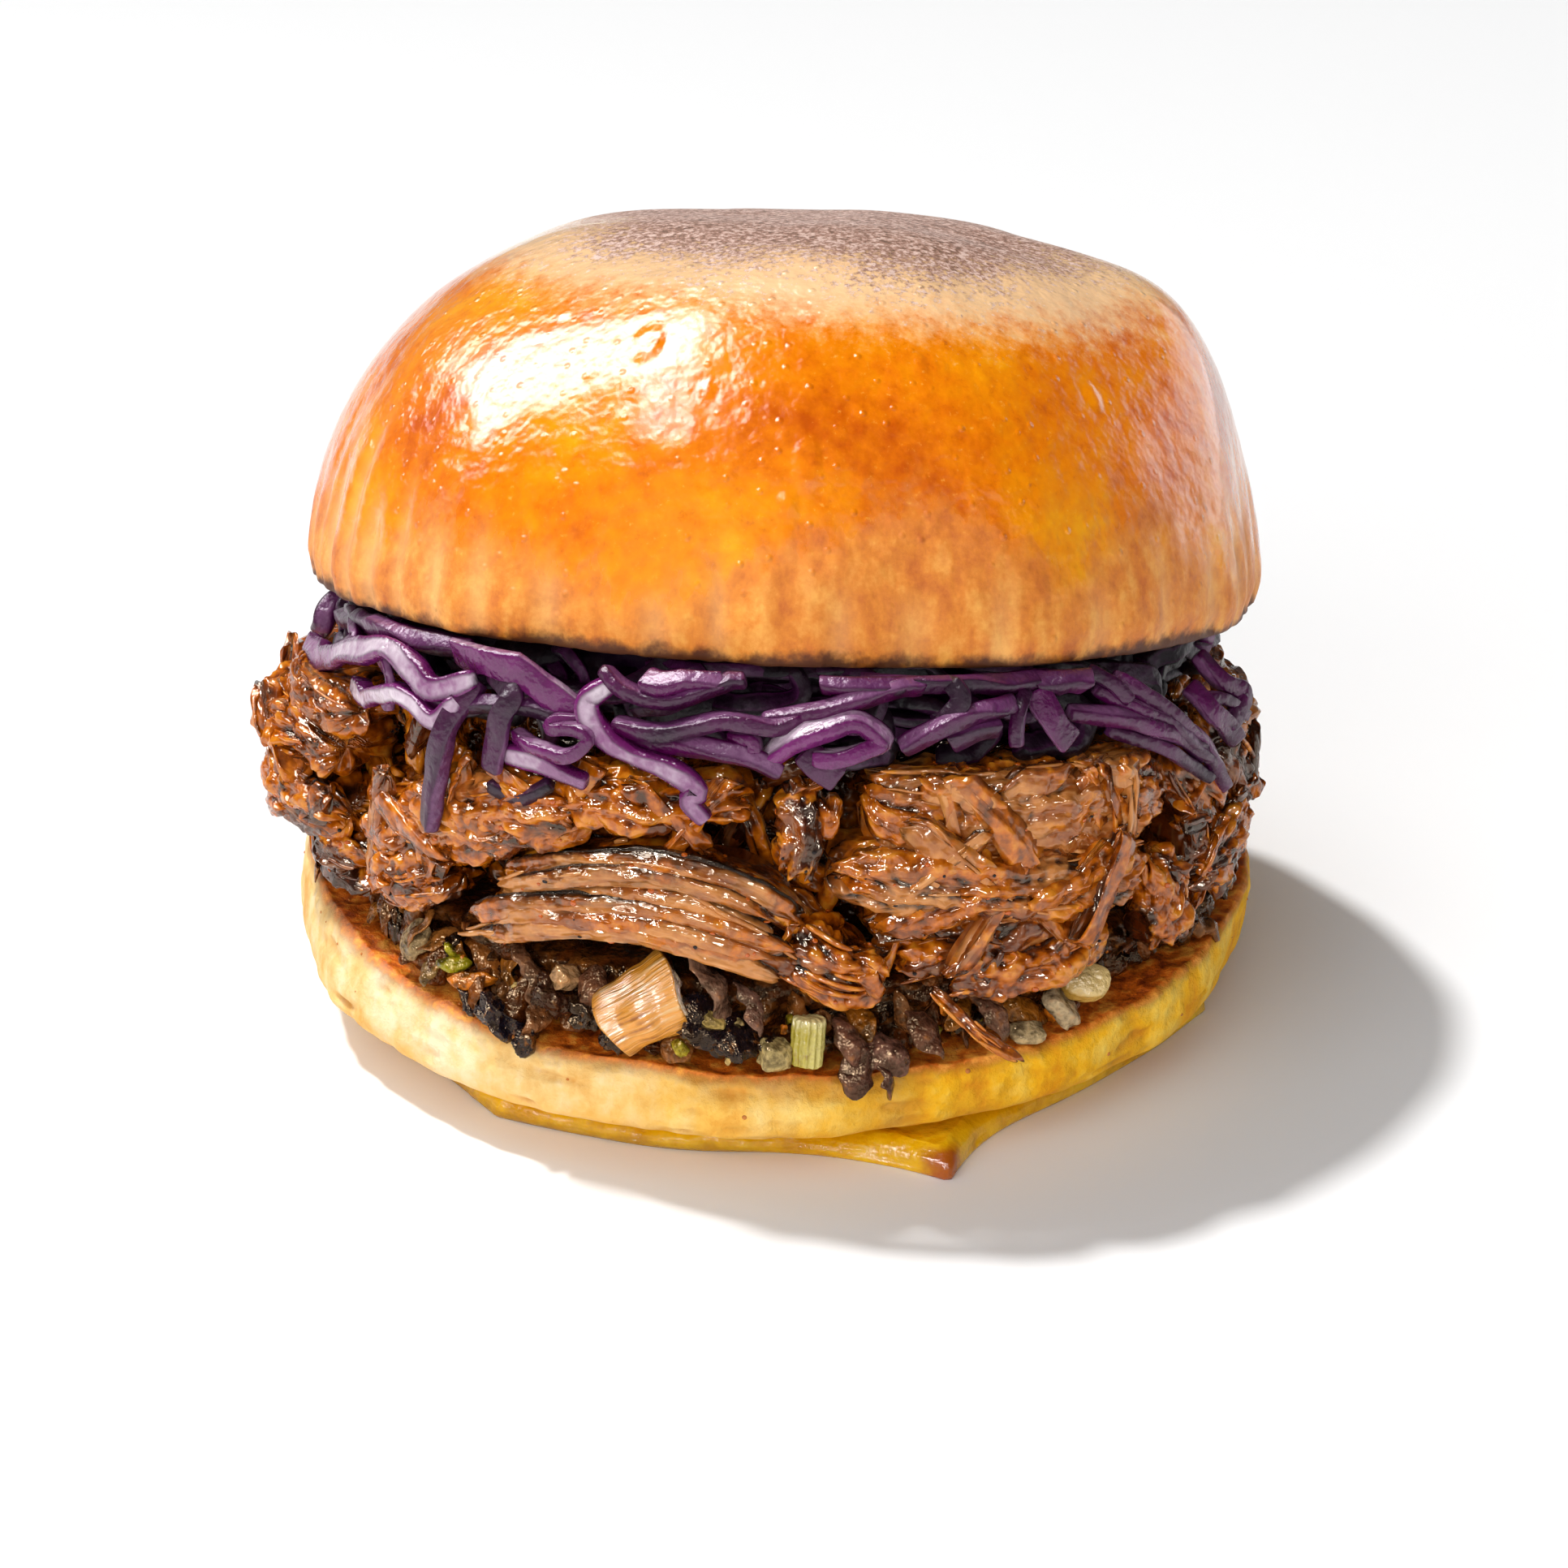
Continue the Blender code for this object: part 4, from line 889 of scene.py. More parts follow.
def build_tears(finish):
    """Smaller chunks round the sides and back, and tears of meat deep between them all."""
    draw = np.random.default_rng(22).uniform
    batch = Batch()
    share = np.array((-1.0, 0.0, 1.0))
    for row, level in enumerate(TEAR_LEVELS):
        for spot in range(TEARS_A_LEVEL):
            middle = -4.0 + 24.0 * spot + 8.0 * row + draw(-3, 3)
            half, slant = draw(8.0, 12.0), draw(-0.10, 0.10)
            stops = polar(middle + share * half, 0.0, 52.2 - 2.2 * np.abs(share) + draw(-0.5, 0.8, 3))
            stops = on_levels(stops, level + slant * share)
            band = 0.56 * (lid_z(*stops[1, :2]) - heel_z(*stops[1, :2]))
            torn_bar(batch, Guide(stops), 0.46 * band, draw(5.0, 7.0),
                     900 + 11 * (TEARS_A_LEVEL * row + spot), draw(0.2, 0.7), draw(0.3, 0.8), sides=28,
                     steps=50, lumpy=0.8, stringy=0.7, back=1.6)
    share = np.array((-1.0, -0.2, 0.5, 1.0))
    for number in range(TEARS_BETWEEN):
        front = number % 2 == 0
        middle = draw(-178, -4) if front else draw(-10, 190)
        level = draw(RELISH_TOP + 0.05, LAMB_TOP - 0.03)
        half, slant = draw(2.5, 7.5), draw(-0.22, 0.22)
        inner, outer = (43.5, 48.5) if front else (48.0, 51.6)
        stops = polar(middle + share * half, 0.0, draw(inner, outer) + draw(-1.0, 1.0, 4))
        torn_bar(batch, Guide(on_levels(stops, level + slant * share), 60), draw(1.4, 3.4), draw(1.6, 3.0),
                 2000 + 11 * number, draw(0.0, 0.5), draw(0.25, 0.9), sides=14, steps=26, lumpy=0.5)
    return batch.make("lamb_tears", finish)


def heap_core(name, low, high, radius, bumps, finish, seed, front=0.0, tints=None):
    """Uneven core of a layer of the filling, set back by front at the open side."""
    bearing = bearings(420)
    edge = np.array((0.3, 0.6, 0.85, 0.96))
    share = np.concatenate((np.zeros(4), np.linspace(0.0, 1.0, 34), np.ones(4)))[:, None]
    shrink = np.concatenate((edge, np.ones(34), edge[::-1]))[:, None]
    reach = radius - front * ease(0.0, 0.5, -np.sin(np.radians(bearing)))
    grid = polar(bearing, 0.0, reach * shrink)
    x, y = grid[..., 0], grid[..., 1]
    bottom, top = level_z(low, x, y) + 0.3, level_z(high, x, y) - 0.3
    grid[..., 2] = bottom + share * (top - bottom)
    push = bumps * (relief(grid, 7.0, seed) + 0.8 * relief(grid, 3.2, seed + 1)
                    + 0.45 * relief(grid, 1.5, seed + 2))
    side = (shrink == 1.0) * 1.0
    grid = grid + unit(grid * (1, 1, 0)) * (push * side - 1.6 * np.abs(2 * share - 1) ** 6)[..., None]
    if tints:
        pick = np.clip((relief(grid, 3.0, seed + 8) * 0.8 + 0.5) * len(tints), 0, len(tints) - 1).astype(int)
        marks = {"tint": np.array([paint(*tint) for tint in tints])[pick], "wet": 1.0}
    else:
        # For the lamb's core the first look number is painted shade: high everywhere, so the set-back core
        # shows dark between the chunks.
        look = together(0.6 - 0.3 * push, 0.5 + 0.3 * relief(grid, 5.0, seed + 5), 0.0)
        grain = together(np.radians(bearing) * radius, grid[..., 2], push)
        marks = {"look": np.clip(look, 0, 1), "grain": grain}
    return one_shape(name, finish, grid, **marks)


def lamb_finish():
    """Brown fibrous meat: tan where dry, orange-brown and wet where the sauce clings, and painted shade
    darkens it to near black in its grooves.
    """
    finish = Finish("braised_lamb", IOR=1.55, Specular_IOR_Level=0.85, Specular_Tint=(1.0, 0.86, 0.70))
    groove_shade, sauce, tone = finish.marks("look")
    along = finish.mark("grain", "Vector")
    streak = finish.streaks(along, (0.12, 1.2, 1.0), 2.0)
    thread = finish.streaks(along, (0.30, 2.6, 1.0), 1.0)
    beads = finish.streaks(along, (0.40, 0.70, 1.0), 1.0)
    blotch = finish.noise(3.4, 4.0, 0.6)
    chip = finish.noise(1.3, 3.0)
    meat = finish.ramp(tone * 0.8 + streak * 0.25 + chip * 0.45 + (blotch - 0.5) * 0.5,
                       (0.34, 44, 14, 4), (0.52, 94, 37, 6), (0.72, 150, 75, 22), (0.98, 200, 128, 62))
    meat = finish.blend(meat, (226, 164, 100), (thread - 0.54).between(0.0, 0.16) * tone * 0.5)
    # The sauce's colour varies at random, and its groove term paints it darker in the grooves as shade.
    thin = finish.ramp((1.0 - groove_shade) * 0.35 + chip * 0.65,
                       (0.36, 64, 22, 0), (0.48, 130, 56, 0), (0.60, 192, 96, 2), (0.74, 224, 138, 30))
    cling = (sauce + (chip - 0.5) * 0.6 + (blotch - 0.5) * 0.8).between(0.42, 0.60)
    skin = finish.blend(meat, thin, cling * 0.86)
    # Painted shade: dark brown, then near black, deep in the grooves.
    skin = finish.blend(skin, (34, 12, 4), (groove_shade + (chip - 0.5) * 0.2).between(0.48, 0.84) * 0.92)
    skin = finish.blend(skin, (10, 4, 2), groove_shade.between(0.72, 1.0) * 0.9)
    fibres = finish.relief(thread * 0.5 + chip * 0.5, 0.16)
    return finish.wear(Base_Color=skin, Roughness=0.17 - cling * 0.08,
                       Normal=finish.relief(beads, 1.1, under=fibres))


# ---------------------------------------------------------------- slaw

# Section of a shred: across the leaf, through it.
SHRED_SECTION = np.array(((1, -0.7), (1, 0), (1, 0.7), (0.86, 1), (0, 1.0), (-0.86, 1), (-1, 0.7), (-1, 0),
                          (-1, -0.7), (-0.86, -1), (0, -1.0), (0.86, -1)))
SCATTERED_SHREDS = 130


def shred(batch, stops, width, turns, thick, seed, tone, first=0.0, steps=46, curl=1.0, free=EVERYWHERE):
    """A shred of cabbage leaf: skin on its two broad sides, white flesh where it was cut."""
    guide = Guide(stops, 90)
    share = shares(steps)
    line, out, up = guide.at(share[:, 0])
    gone = share[:, 0] * guide.length
    track = together(gone, 0.0, 2.3 * seed)
    swing = curl * (0.85 * relief(track, 5.5, seed) + 0.35 * relief(track, 2.6, seed + 1))
    rise = curl * (0.75 * relief(track, 6.5, seed + 2) + 0.30 * relief(track, 3.0, seed + 3))
    middle = line + out * swing[:, None] + up * rise[:, None]
    heading = unit(np.gradient(middle, axis=0))
    out = unit(out - heading * (heading * out).sum(axis=1, keepdims=True))
    up = np.cross(out, heading)
    angle = ((first + turns * share[:, 0]) * math.pi / 2 + 0.6 * relief(track, 8.0, seed + 4))[:, None]
    across = up * np.cos(angle) + out * np.sin(angle)
    through = out * np.cos(angle) - up * np.sin(angle)
    ends = 0.75 + 0.25 * np.sqrt(1.0 - np.abs(2 * share - 1) ** 15)
    broad = width / 2 * (1.0 + 0.16 * relief(track, 4.0, seed + 5))[:, None] * ends
    deep = thick / 2 * (1.0 + 0.35 * relief(track, 6.0, seed + 6))[:, None] * ends
    side, face = SHRED_SECTION.T
    cup = 0.16 * width * relief(track, 7.0, seed + 7)[:, None] * (side ** 2 - 0.5)[None, :]
    rings = (middle[:, None] + across[:, None] * (broad * side)[..., None]
             + through[:, None] * (deep * face + cup)[..., None])
    # Paleness sets how light the shred shows: partly its own tone, partly painted shade.
    pale = np.clip(tone + 0.25 * relief(track, 8.0, seed + 8), 0.0, 1.0)[:, None]
    leaf = together(face, pale, gone[:, None] + 5.0 * seed)
    batch.sweep(tuck(rings, LAMB_TOP - 0.03, 1.0, free), leaf=leaf)


def build_slaw(finish):
    """Shreds of red cabbage: the placed ones at the front, then a darker tangle behind and all round; the
    scattered ones at the front get painted shade, near black.
    """
    dice = np.random.default_rng(31)
    draw = dice.uniform
    batch = Batch()
    for number, (stops, width, turns, thick, first, tone) in enumerate(SLAW_SHREDS):
        shred(batch, trail(stops), width, turns, thick, 40 + 9 * number, tone, first, steps=64, curl=0.35,
              free=54.5)
    for number in range(SCATTERED_SHREDS):
        front = number % 5 < 2
        middle = draw(-172, -8) if front else draw(-8, 188)
        level = draw(0.80, 0.95)
        ring = draw(45.0, 50.5) if front else draw(46.5, 51.5)
        kind = dice.choice(("lying", "lying", "looped", "poking"))
        if kind == "lying":
            share = np.array((-1.0, -0.4, 0.3, 1.0))
            stops = polar(middle + share * draw(7.0, 16.0), 0.0,
                          ring - 2.2 * np.abs(share) + draw(-1.5, 1.5, 4))
            levels = level + draw(-0.09, 0.09, 4)
        elif kind == "looped":
            share = np.array((-1.0, 0.6, 1.3, 0.5, -1.2))
            stops = polar(middle + share * draw(2.5, 5.0), 0.0, ring + np.array((-5.0, -0.5, 0.8, 1.2, 0.4)))
            levels = level + np.array((0.05, 0.06, 0.0, -0.06, -0.05)) + draw(-0.02, 0.02, 5)
        else:
            share = np.array((-1.0, 0.0, 1.0))
            stops = polar(middle + share * draw(2.0, 7.0), 0.0, ring + np.array((-7.0, -1.0, 1.8)))
            levels = level + np.array((0.08, 0.04, -0.05)) + draw(-0.03, 0.03, 3)
        # Painted shade: scattered shreds at the front get a low paleness and show near black in the gaps.
        tone = draw(0.0, 0.15) if front else draw(0.1, 0.8)
        shred(batch, on_levels(stops, levels), draw(1.5, 3.2), draw(-1.0, 1.0), draw(1.0, 2.4),
              300 + 7 * number, tone, dice.choice((0.0, 0.6, 1.0)), steps=36, curl=1.1)
    return batch.make("cabbage_shreds", finish)


def cabbage_finish():
    """Red cabbage: purple skin, white to lilac flesh between, violet where the two meet. A low paleness
    darkens skin and flesh toward black, partly the leaf's tone and partly painted shade.
    """
    finish = Finish("red_cabbage", Specular_IOR_Level=0.7)
    through, pale = finish.marks("leaf")[:2]
    fine = finish.noise(1.0, 3.0)
    broad = finish.noise(4.0, 3.0)
    skin = finish.ramp(pale * 0.7 + broad * 0.4,
                       (0.22, 12, 0, 10), (0.40, 38, 0, 32), (0.60, 70, 0, 58), (0.95, 118, 34, 104))
    flesh = finish.ramp(pale * 0.70 + fine * 0.2 + broad * 0.2,
                        (0.20, 22, 0, 20), (0.46, 84, 28, 78), (0.74, 138, 90, 128), (0.98, 216, 200, 210))
    outward = abs(through) + (fine - 0.5) * 0.3
    lilac = finish.blend(flesh, (68, 2, 60), outward.between(0.40, 0.80) * 0.8)
    return finish.wear(Base_Color=finish.blend(lilac, skin, outward.between(0.66, 0.88)),
                       Roughness=0.46 - pale * 0.34 + fine * 0.1,
                       Normal=finish.relief(fine * 0.5 + broad * 0.5, 0.5))


# ---------------------------------------------------------------- relish and vegetables

SPILLS_BEYOND = 55.5     # bits further out than this may hang over the heel
SCATTERED_PETALS = 170
SCATTERED_CHIPS = 150
SCATTERED_BITS = 90
ONION = ((112, 58, 20), (130, 74, 28), (76, 34, 10), (154, 94, 40), (124, 74, 36), (96, 44, 12),
         (150, 86, 18))
CHARRED = ((30, 14, 6), (56, 28, 8), (22, 14, 10), (72, 36, 12))
BRIGHT = ((176, 150, 40), (214, 180, 110), (206, 112, 24), (140, 124, 24), (222, 190, 120), (196, 84, 14))
MUSH = ((38, 17, 6), (68, 30, 8), (94, 44, 12), (46, 21, 8), (106, 58, 20), (26, 14, 8))
BARE_RIM = ((-153.0, 8.0), (-113.0, 5.0), (-44.0, 8.0))     # bearing, half width: where the cut face shows

# Petals at the front: bearing, height, radius, length, width, turns about X, Y and Z, colour.
PLACED_PETALS = (
    (-139.5, 19.2, 53.2, 5.5, 3.6, 70, 20, -40, 168, 140, 96),
    (-135.0, 17.4, 53.8, 5.0, 3.0, 50, -30, -60, 120, 88, 40),
    (-128.5, 18.4, 54.2, 6.4, 1.8, 80, 80, -30, 206, 112, 20),
    (-131.5, 19.4, 54.0, 4.4, 1.8, 60, 80, -40, 150, 140, 20),
    (-121.0, 20.4, 53.8, 8.0, 3.0, 60, 10, 60, 120, 78, 52),
    (-119.0, 16.8, 54.4, 6.0, 2.6, 60, 60, 20, 128, 78, 44),
    (-98.5, 22.6, 53.4, 9.0, 4.6, 60, 10, 80, 138, 100, 78),
    (-94.0, 20.8, 54.0, 7.0, 4.0, 50, 30, 60, 124, 88, 72),
    (-82.5, 17.2, 54.6, 7.0, 4.4, 30, 10, 20, 108, 70, 54),
    (-78.5, 15.6, 56.0, 6.0, 4.4, 30, -20, 50, 114, 76, 62),
    (-82.0, 14.4, 56.8, 6.0, 4.0, 60, 10, 10, 90, 58, 46),
    (-79.0, 13.4, 57.2, 4.6, 3.0, 60, 10, 70, 86, 52, 42),
    (-74.0, 16.8, 54.6, 7.0, 3.8, 40, 10, 60, 104, 64, 46),
    (-66.0, 17.6, 54.2, 7.0, 3.6, 50, 10, 80, 118, 78, 58),
    (-112.0, 20.5, 53.4, 6.0, 3.6, 70, 0, -10, 112, 70, 48),
)
# Chips and bits at the front: bearing, height, radius, size, turns about X, Y and Z, colour.
PLACED_CHIPS = (
    (-98.0, 18.6, 54.8, 6.4, 4.8, 3.6, 20, 30, 10, 20, 18, 26),
    (-94.5, 17.0, 55.0, 4.8, 3.8, 2.6, 50, 10, 60, 24, 20, 26),
    (-123.0, 15.0, 55.6, 5.6, 3.4, 2.2, 10, 40, 30, 24, 24, 36),
    (-119.5, 14.4, 55.8, 4.0, 2.6, 2.0, 70, 10, 80, 20, 18, 26),
    (-128.0, 16.4, 55.2, 3.4, 2.6, 1.8, 70, 10, 80, 30, 26, 34),
    (-108.6, 16.2, 54.8, 3.6, 3.0, 2.4, 30, 10, 20, 30, 24, 26),
    (-112.5, 18.6, 54.2, 4.8, 4.0, 3.6, 30, 10, 60, 26, 14, 10),
    (-117.0, 19.2, 54.0, 5.0, 4.0, 3.4, 30, 40, 20, 58, 30, 20),
    (-91.0, 16.4, 54.8, 3.4, 2.6, 2.2, 30, 60, 20, 32, 24, 22),
)
PLACED_BITS = (
    (-115.5, 21.8, 53.8, 3.0, 2.4, 2.4, 30, 20, 40, 196, 148, 100),
    (-97.5, 19.6, 55.2, 2.8, 1.8, 1.8, 20, 40, 10, 214, 180, 100),
    (-101.0, 16.2, 55.4, 2.6, 1.6, 1.4, 20, 50, 40, 178, 158, 40),
    (-61.0, 14.6, 55.0, 4.4, 2.6, 1.8, 20, 10, 20, 204, 176, 128),
    (-56.0, 16.4, 54.6, 5.0, 3.6, 2.2, 20, 50, 20, 190, 166, 128),
    (-90.6, 16.2, 55.6, 3.4, 3.0, 3.2, 10, 10, 30, 196, 172, 112),
    (-132.0, 20.6, 54.0, 2.2, 1.0, 0.8, 30, 60, 20, 170, 160, 30),
)


def blocky(value, square):
    """A sine or cosine pushed out towards 1, so that a round shape grows corners."""
    return np.sign(value) * np.abs(value) ** square


def morsel(batch, centre, size, angles, seed, tint, square=0.6, rough=0.12, rows=10, sides=16, wet=0.5):
    """A cut or broken bit: a rounded block with an uneven surface."""
    latitude = np.linspace(-0.96, 0.96, rows)[:, None] * math.pi / 2
    around = circle(sides)
    reach = np.cos(latitude) ** square
    shape = together(blocky(np.cos(around), square) * reach, blocky(np.sin(around), square) * reach,
                     blocky(np.sin(latitude), square))
    jag = (relief(shape + seed * 3.3, 1.3, seed)
           - 1.6 * np.abs(relief(shape + seed * 1.9, 0.8, seed + 1)) + 0.4)
    shape = shape * (1.0 + rough * jag)[..., None]
    rings = (shape * np.array(size) / 2) @ spin(angles).T + centre
    batch.sweep(tuck(rings, 0.0, RELISH_TOP + 0.05, SPILLS_BEYOND), tint=paint(*tint), wet=wet)


def petal(batch, centre, length, width, angles, seed, tint, thick=0.8, cup=0.35):
    """A petal of cooked onion: a thin cupped leaf with a torn, ruffled edge."""
    share = np.linspace(-1.0, 1.0, 19)[:, None]
    around = circle(20)
    edge = together(np.cos(around), share, seed * 1.3)
    ruffle = 1.0 + 0.35 * relief(edge, 0.5, seed)
    broad = width / 2 * np.clip(1.0 - np.abs(share) ** 2.2, 0.03, 1.0) ** 0.6 * ruffle
    x = broad * np.cos(around)
    y = length / 2 * share + 0.0 * x
    z = thick / 2 * np.sin(around) * np.sqrt(np.clip(1.0 - share ** 6, 0.1, 1.0))
    z = z + cup * width * (0.5 - (x / width) ** 2 * 2.2) + 0.16 * length * (0.5 - share ** 2)
    flat = together(x, y, seed * 3.7)
    z = z + (0.9 * relief(flat, 3.4, seed) + 0.4 * relief(flat, 1.5, seed + 1))
    rings = together(x, y, z) @ spin(angles).T + centre
    batch.sweep(tuck(rings, 0.0, RELISH_TOP + 0.12, SPILLS_BEYOND), tint=paint(*tint), wet=0.9)


def build_relish(finish):
    """Cooked onion petals, charred chips and small bright bits on the heel's cut face."""
    dice = np.random.default_rng(41)
    draw = dice.uniform
    petals, chips, bits = Batch(), Batch(), Batch()

    def spot(low, high, inner, outer):
        bearing = draw(-180, 0) if draw() < 0.62 else draw(0, 180)
        bare = sum(math.exp(-(apart(bearing, at) / half) ** 2) for at, half in BARE_RIM)
        at = polar(bearing, 0.0, draw(inner, outer) - 2.6 * bare)
        at[2] = heel_z(at[0], at[1]) + draw(low, high)
        return at, bearing

    def any_of(tints):
        return tints[dice.integers(len(tints))]

    for number in range(SCATTERED_PETALS):
        at, bearing = spot(0.8, 5.8, 50.0, 53.8)
        angles = (draw(0, 100), draw(-50, 50), bearing + 90 + draw(-70, 70))
        petal(petals, at, draw(4.0, 9.0), draw(2.0, 4.6), angles, number, any_of(ONION), draw(0.4, 0.8),
              draw(0.1, 0.5))
    for number in range(SCATTERED_CHIPS):
        at, bearing = spot(0.4, 5.6, 50.5, 53.8)
        size = draw(1.2, 4.6)
        morsel(chips, at, (size, size * draw(0.5, 0.9), size * draw(0.3, 0.7)), draw(-180, 180, 3), number,
               any_of(CHARRED), draw(0.5, 0.9), 0.5, 14, 20, wet=draw(0.5, 1.0))
    for number in range(SCATTERED_BITS):
        at, bearing = spot(0.4, 5.8, 52.0, 54.4)
        size = draw(0.6, 1.8)
        morsel(bits, at, (size, size * draw(0.4, 0.9), size * draw(0.3, 0.7)), draw(-180, 180, 3), number,
               any_of(BRIGHT), draw(0.3, 0.7), 0.25, wet=draw(0.4, 1.0))
    for row in PLACED_PETALS:
        petal(petals, polar(*row[:3]), row[3], row[4], row[5:8], row[0], row[8:])
    for row in PLACED_CHIPS:
        morsel(chips, polar(*row[:3]), row[3:6], row[6:9], row[0], row[9:], 0.7, 0.5, 22, 32, wet=1.0)
    for row in PLACED_BITS:
        morsel(bits, polar(*row[:3]), row[3:6], row[6:9], row[0], row[9:], 0.5, 0.18, 15, 22, wet=0.9)
    return (petals.make("onion_petals", finish), chips.make("charred_chips", finish),
            bits.make("relish_bits", finish))


def relish_finish():
    """Cooked relish: every bit its own colour, wet and a little mottled."""
    finish = Finish("browned_onion", IOR=1.5, Specular_IOR_Level=0.5, Specular_Tint=(1.0, 0.70, 0.42))
    tint = finish.mark("tint", "Color")
    wet = finish.mark("wet")
    broad = finish.noise(2.4, 3.0)
    fine = finish.noise(0.7, 2.0)
    dark = finish.blend(tint, (30, 12, 4), (broad * 0.6 + fine * 0.4).between(0.58, 0.36) * 0.8)
    light = finish.blend(dark, (196, 118, 44), (broad * 0.5 + fine * 0.5).between(0.54, 0.72) * 0.4)
    return finish.wear(Base_Color=light, Roughness=0.36 - wet * 0.27,
                       Normal=finish.relief(fine * 0.3 + broad * 0.7, 1.1))


# Layers of the leek from the outside in: share of its radius, how much shorter, colour.
LEEK_LAYERS = ((1.0, 0.0, (226, 148, 44)), (0.80, -0.5, (216, 190, 156)), (0.62, -1.1, (206, 172, 158)),
               (0.45, -0.2, (222, 200, 168)), (0.28, -0.8, (150, 104, 76)))
LEEK_INSIDE = (214, 176, 146)


def build_leek(finish, centre, length, radius, placing):
    """A roasted length of leek, cut in half: nested curved layers, the outermost browned."""
    batch = Batch()
    share = shares(40)
    arc = np.radians(np.linspace(-112.0, 112.0, 26))
    band = np.concatenate((arc, arc[::-1]))[None, :]
    outer = np.repeat((1.0, 0.0), 26)[None, :]
    for layer, (reach, shift, tint) in enumerate(LEEK_LAYERS):
        along = (share - 0.5) * (length + shift) - 0.5 * shift
        spot = together(3.0 * np.cos(band), 3.0 * np.sin(band), along + 9.0 * layer)
        rough = 0.45 * relief(spot, 3.0, layer) + 0.12 * relief(spot * (1, 1, 0.2), 0.7, layer + 5)
        flat = 1.0 - 0.22 * np.abs(np.cos(band)) ** 3
        far = radius * reach * flat * (1.0 + 0.16 * (share - 0.5)) - 0.5 * (1.0 - outer) + rough
        along = along + 0.7 * rough + 0.9 * np.cos(2.0 * band) * (share - 0.5)
        rings = together(far * np.sin(band), far * np.cos(band), along)
        skin = np.where(outer[..., None] > 0.5, paint(*tint), paint(*LEEK_INSIDE)) + 0.0 * rings
        batch.sweep(rings @ placing.T + centre, tint=skin,
                    grain=together(along, band * radius * reach, 4.0 * layer))
    return batch.make("roasted_leek", finish)


def leek_finish():
    """Roasted leek: golden outside with fine fibres along it, pale and pinkish inside."""
    finish = Finish("browned_leek", IOR=1.5, Specular_IOR_Level=0.8)
    thread = finish.streaks(finish.mark("grain", "Vector"), (0.10, 1.9, 1.0), 3.0)
    broad = finish.noise(3.0, 3.0)
    pale = finish.blend(finish.mark("tint", "Color"), (240, 208, 150),
                        (thread * 0.7 + broad * 0.3).between(0.50, 0.66) * 0.5)
    brown = finish.blend(pale, (126, 58, 10), (thread * 0.5 + broad * 0.5).between(0.49, 0.36) * 0.75)
    return finish.wear(Base_Color=brown, Roughness=0.16 + broad * 0.12,
                       Normal=finish.relief(thread * 0.6 + broad * 0.4, 0.7))


def vegetable_piece(name, finish, centre, size, angles, ridges=0, square=0.5, blunt=0.4):
    """A cut piece of vegetable, with its own coordinates for the finish to follow."""
    rise = np.sin(np.linspace(-0.5, 0.5, 40) * math.pi)[:, None]
    around = circle(84)
    full = (1.0 - np.abs(rise) ** 7 * blunt) * np.sqrt(np.clip(1.01 - np.abs(rise) ** 30, 0.0, 1.0))
    box = 1.0 / np.maximum(np.abs(np.cos(around)), np.abs(np.sin(around))) ** square
    rib = 1.0 - 0.13 * np.abs(np.sin(around * ridges / 2))
    reach = full * box * rib * 0.82
    shape = together(reach * np.cos(around), reach * np.sin(around), rise)
    uneven = 1.0 + 0.07 * relief(shape + len(name), 0.8, 3) + 0.03 * relief(shape, 0.25, 5)
    shape = shape * uneven[..., None]
    return one_shape(name, finish, (shape * np.array(size) / 2) @ spin(angles).T + centre, own=shape)


def vegetable_finish(name, low, high, middle):
    """A roasted cut vegetable that changes colour from one side to the other and browns in patches."""
    finish = Finish(name, Specular_IOR_Level=0.85)
    across, _, along = finish.marks("own")
    fine = finish.noise(0.8, 3.0)
    broad = finish.noise(2.6, 3.0)
    skin = finish.blend(low, high, (across + (broad - 0.5) * 0.9).between(-0.55, 0.65))
    skin = finish.blend(skin, middle, (along + (fine - 0.5) * 0.6).between(0.45, 0.95) * 0.8)
    skin = finish.blend(skin, (120, 66, 20), (fine * 0.5 + broad * 0.5).between(0.58, 0.72) * 0.6)
    return finish.wear(Base_Color=skin, Roughness=0.16 + fine * 0.15, Normal=finish.relief(fine, 0.4))


# ---------------------------------------------------------------- loose things grown on the rest

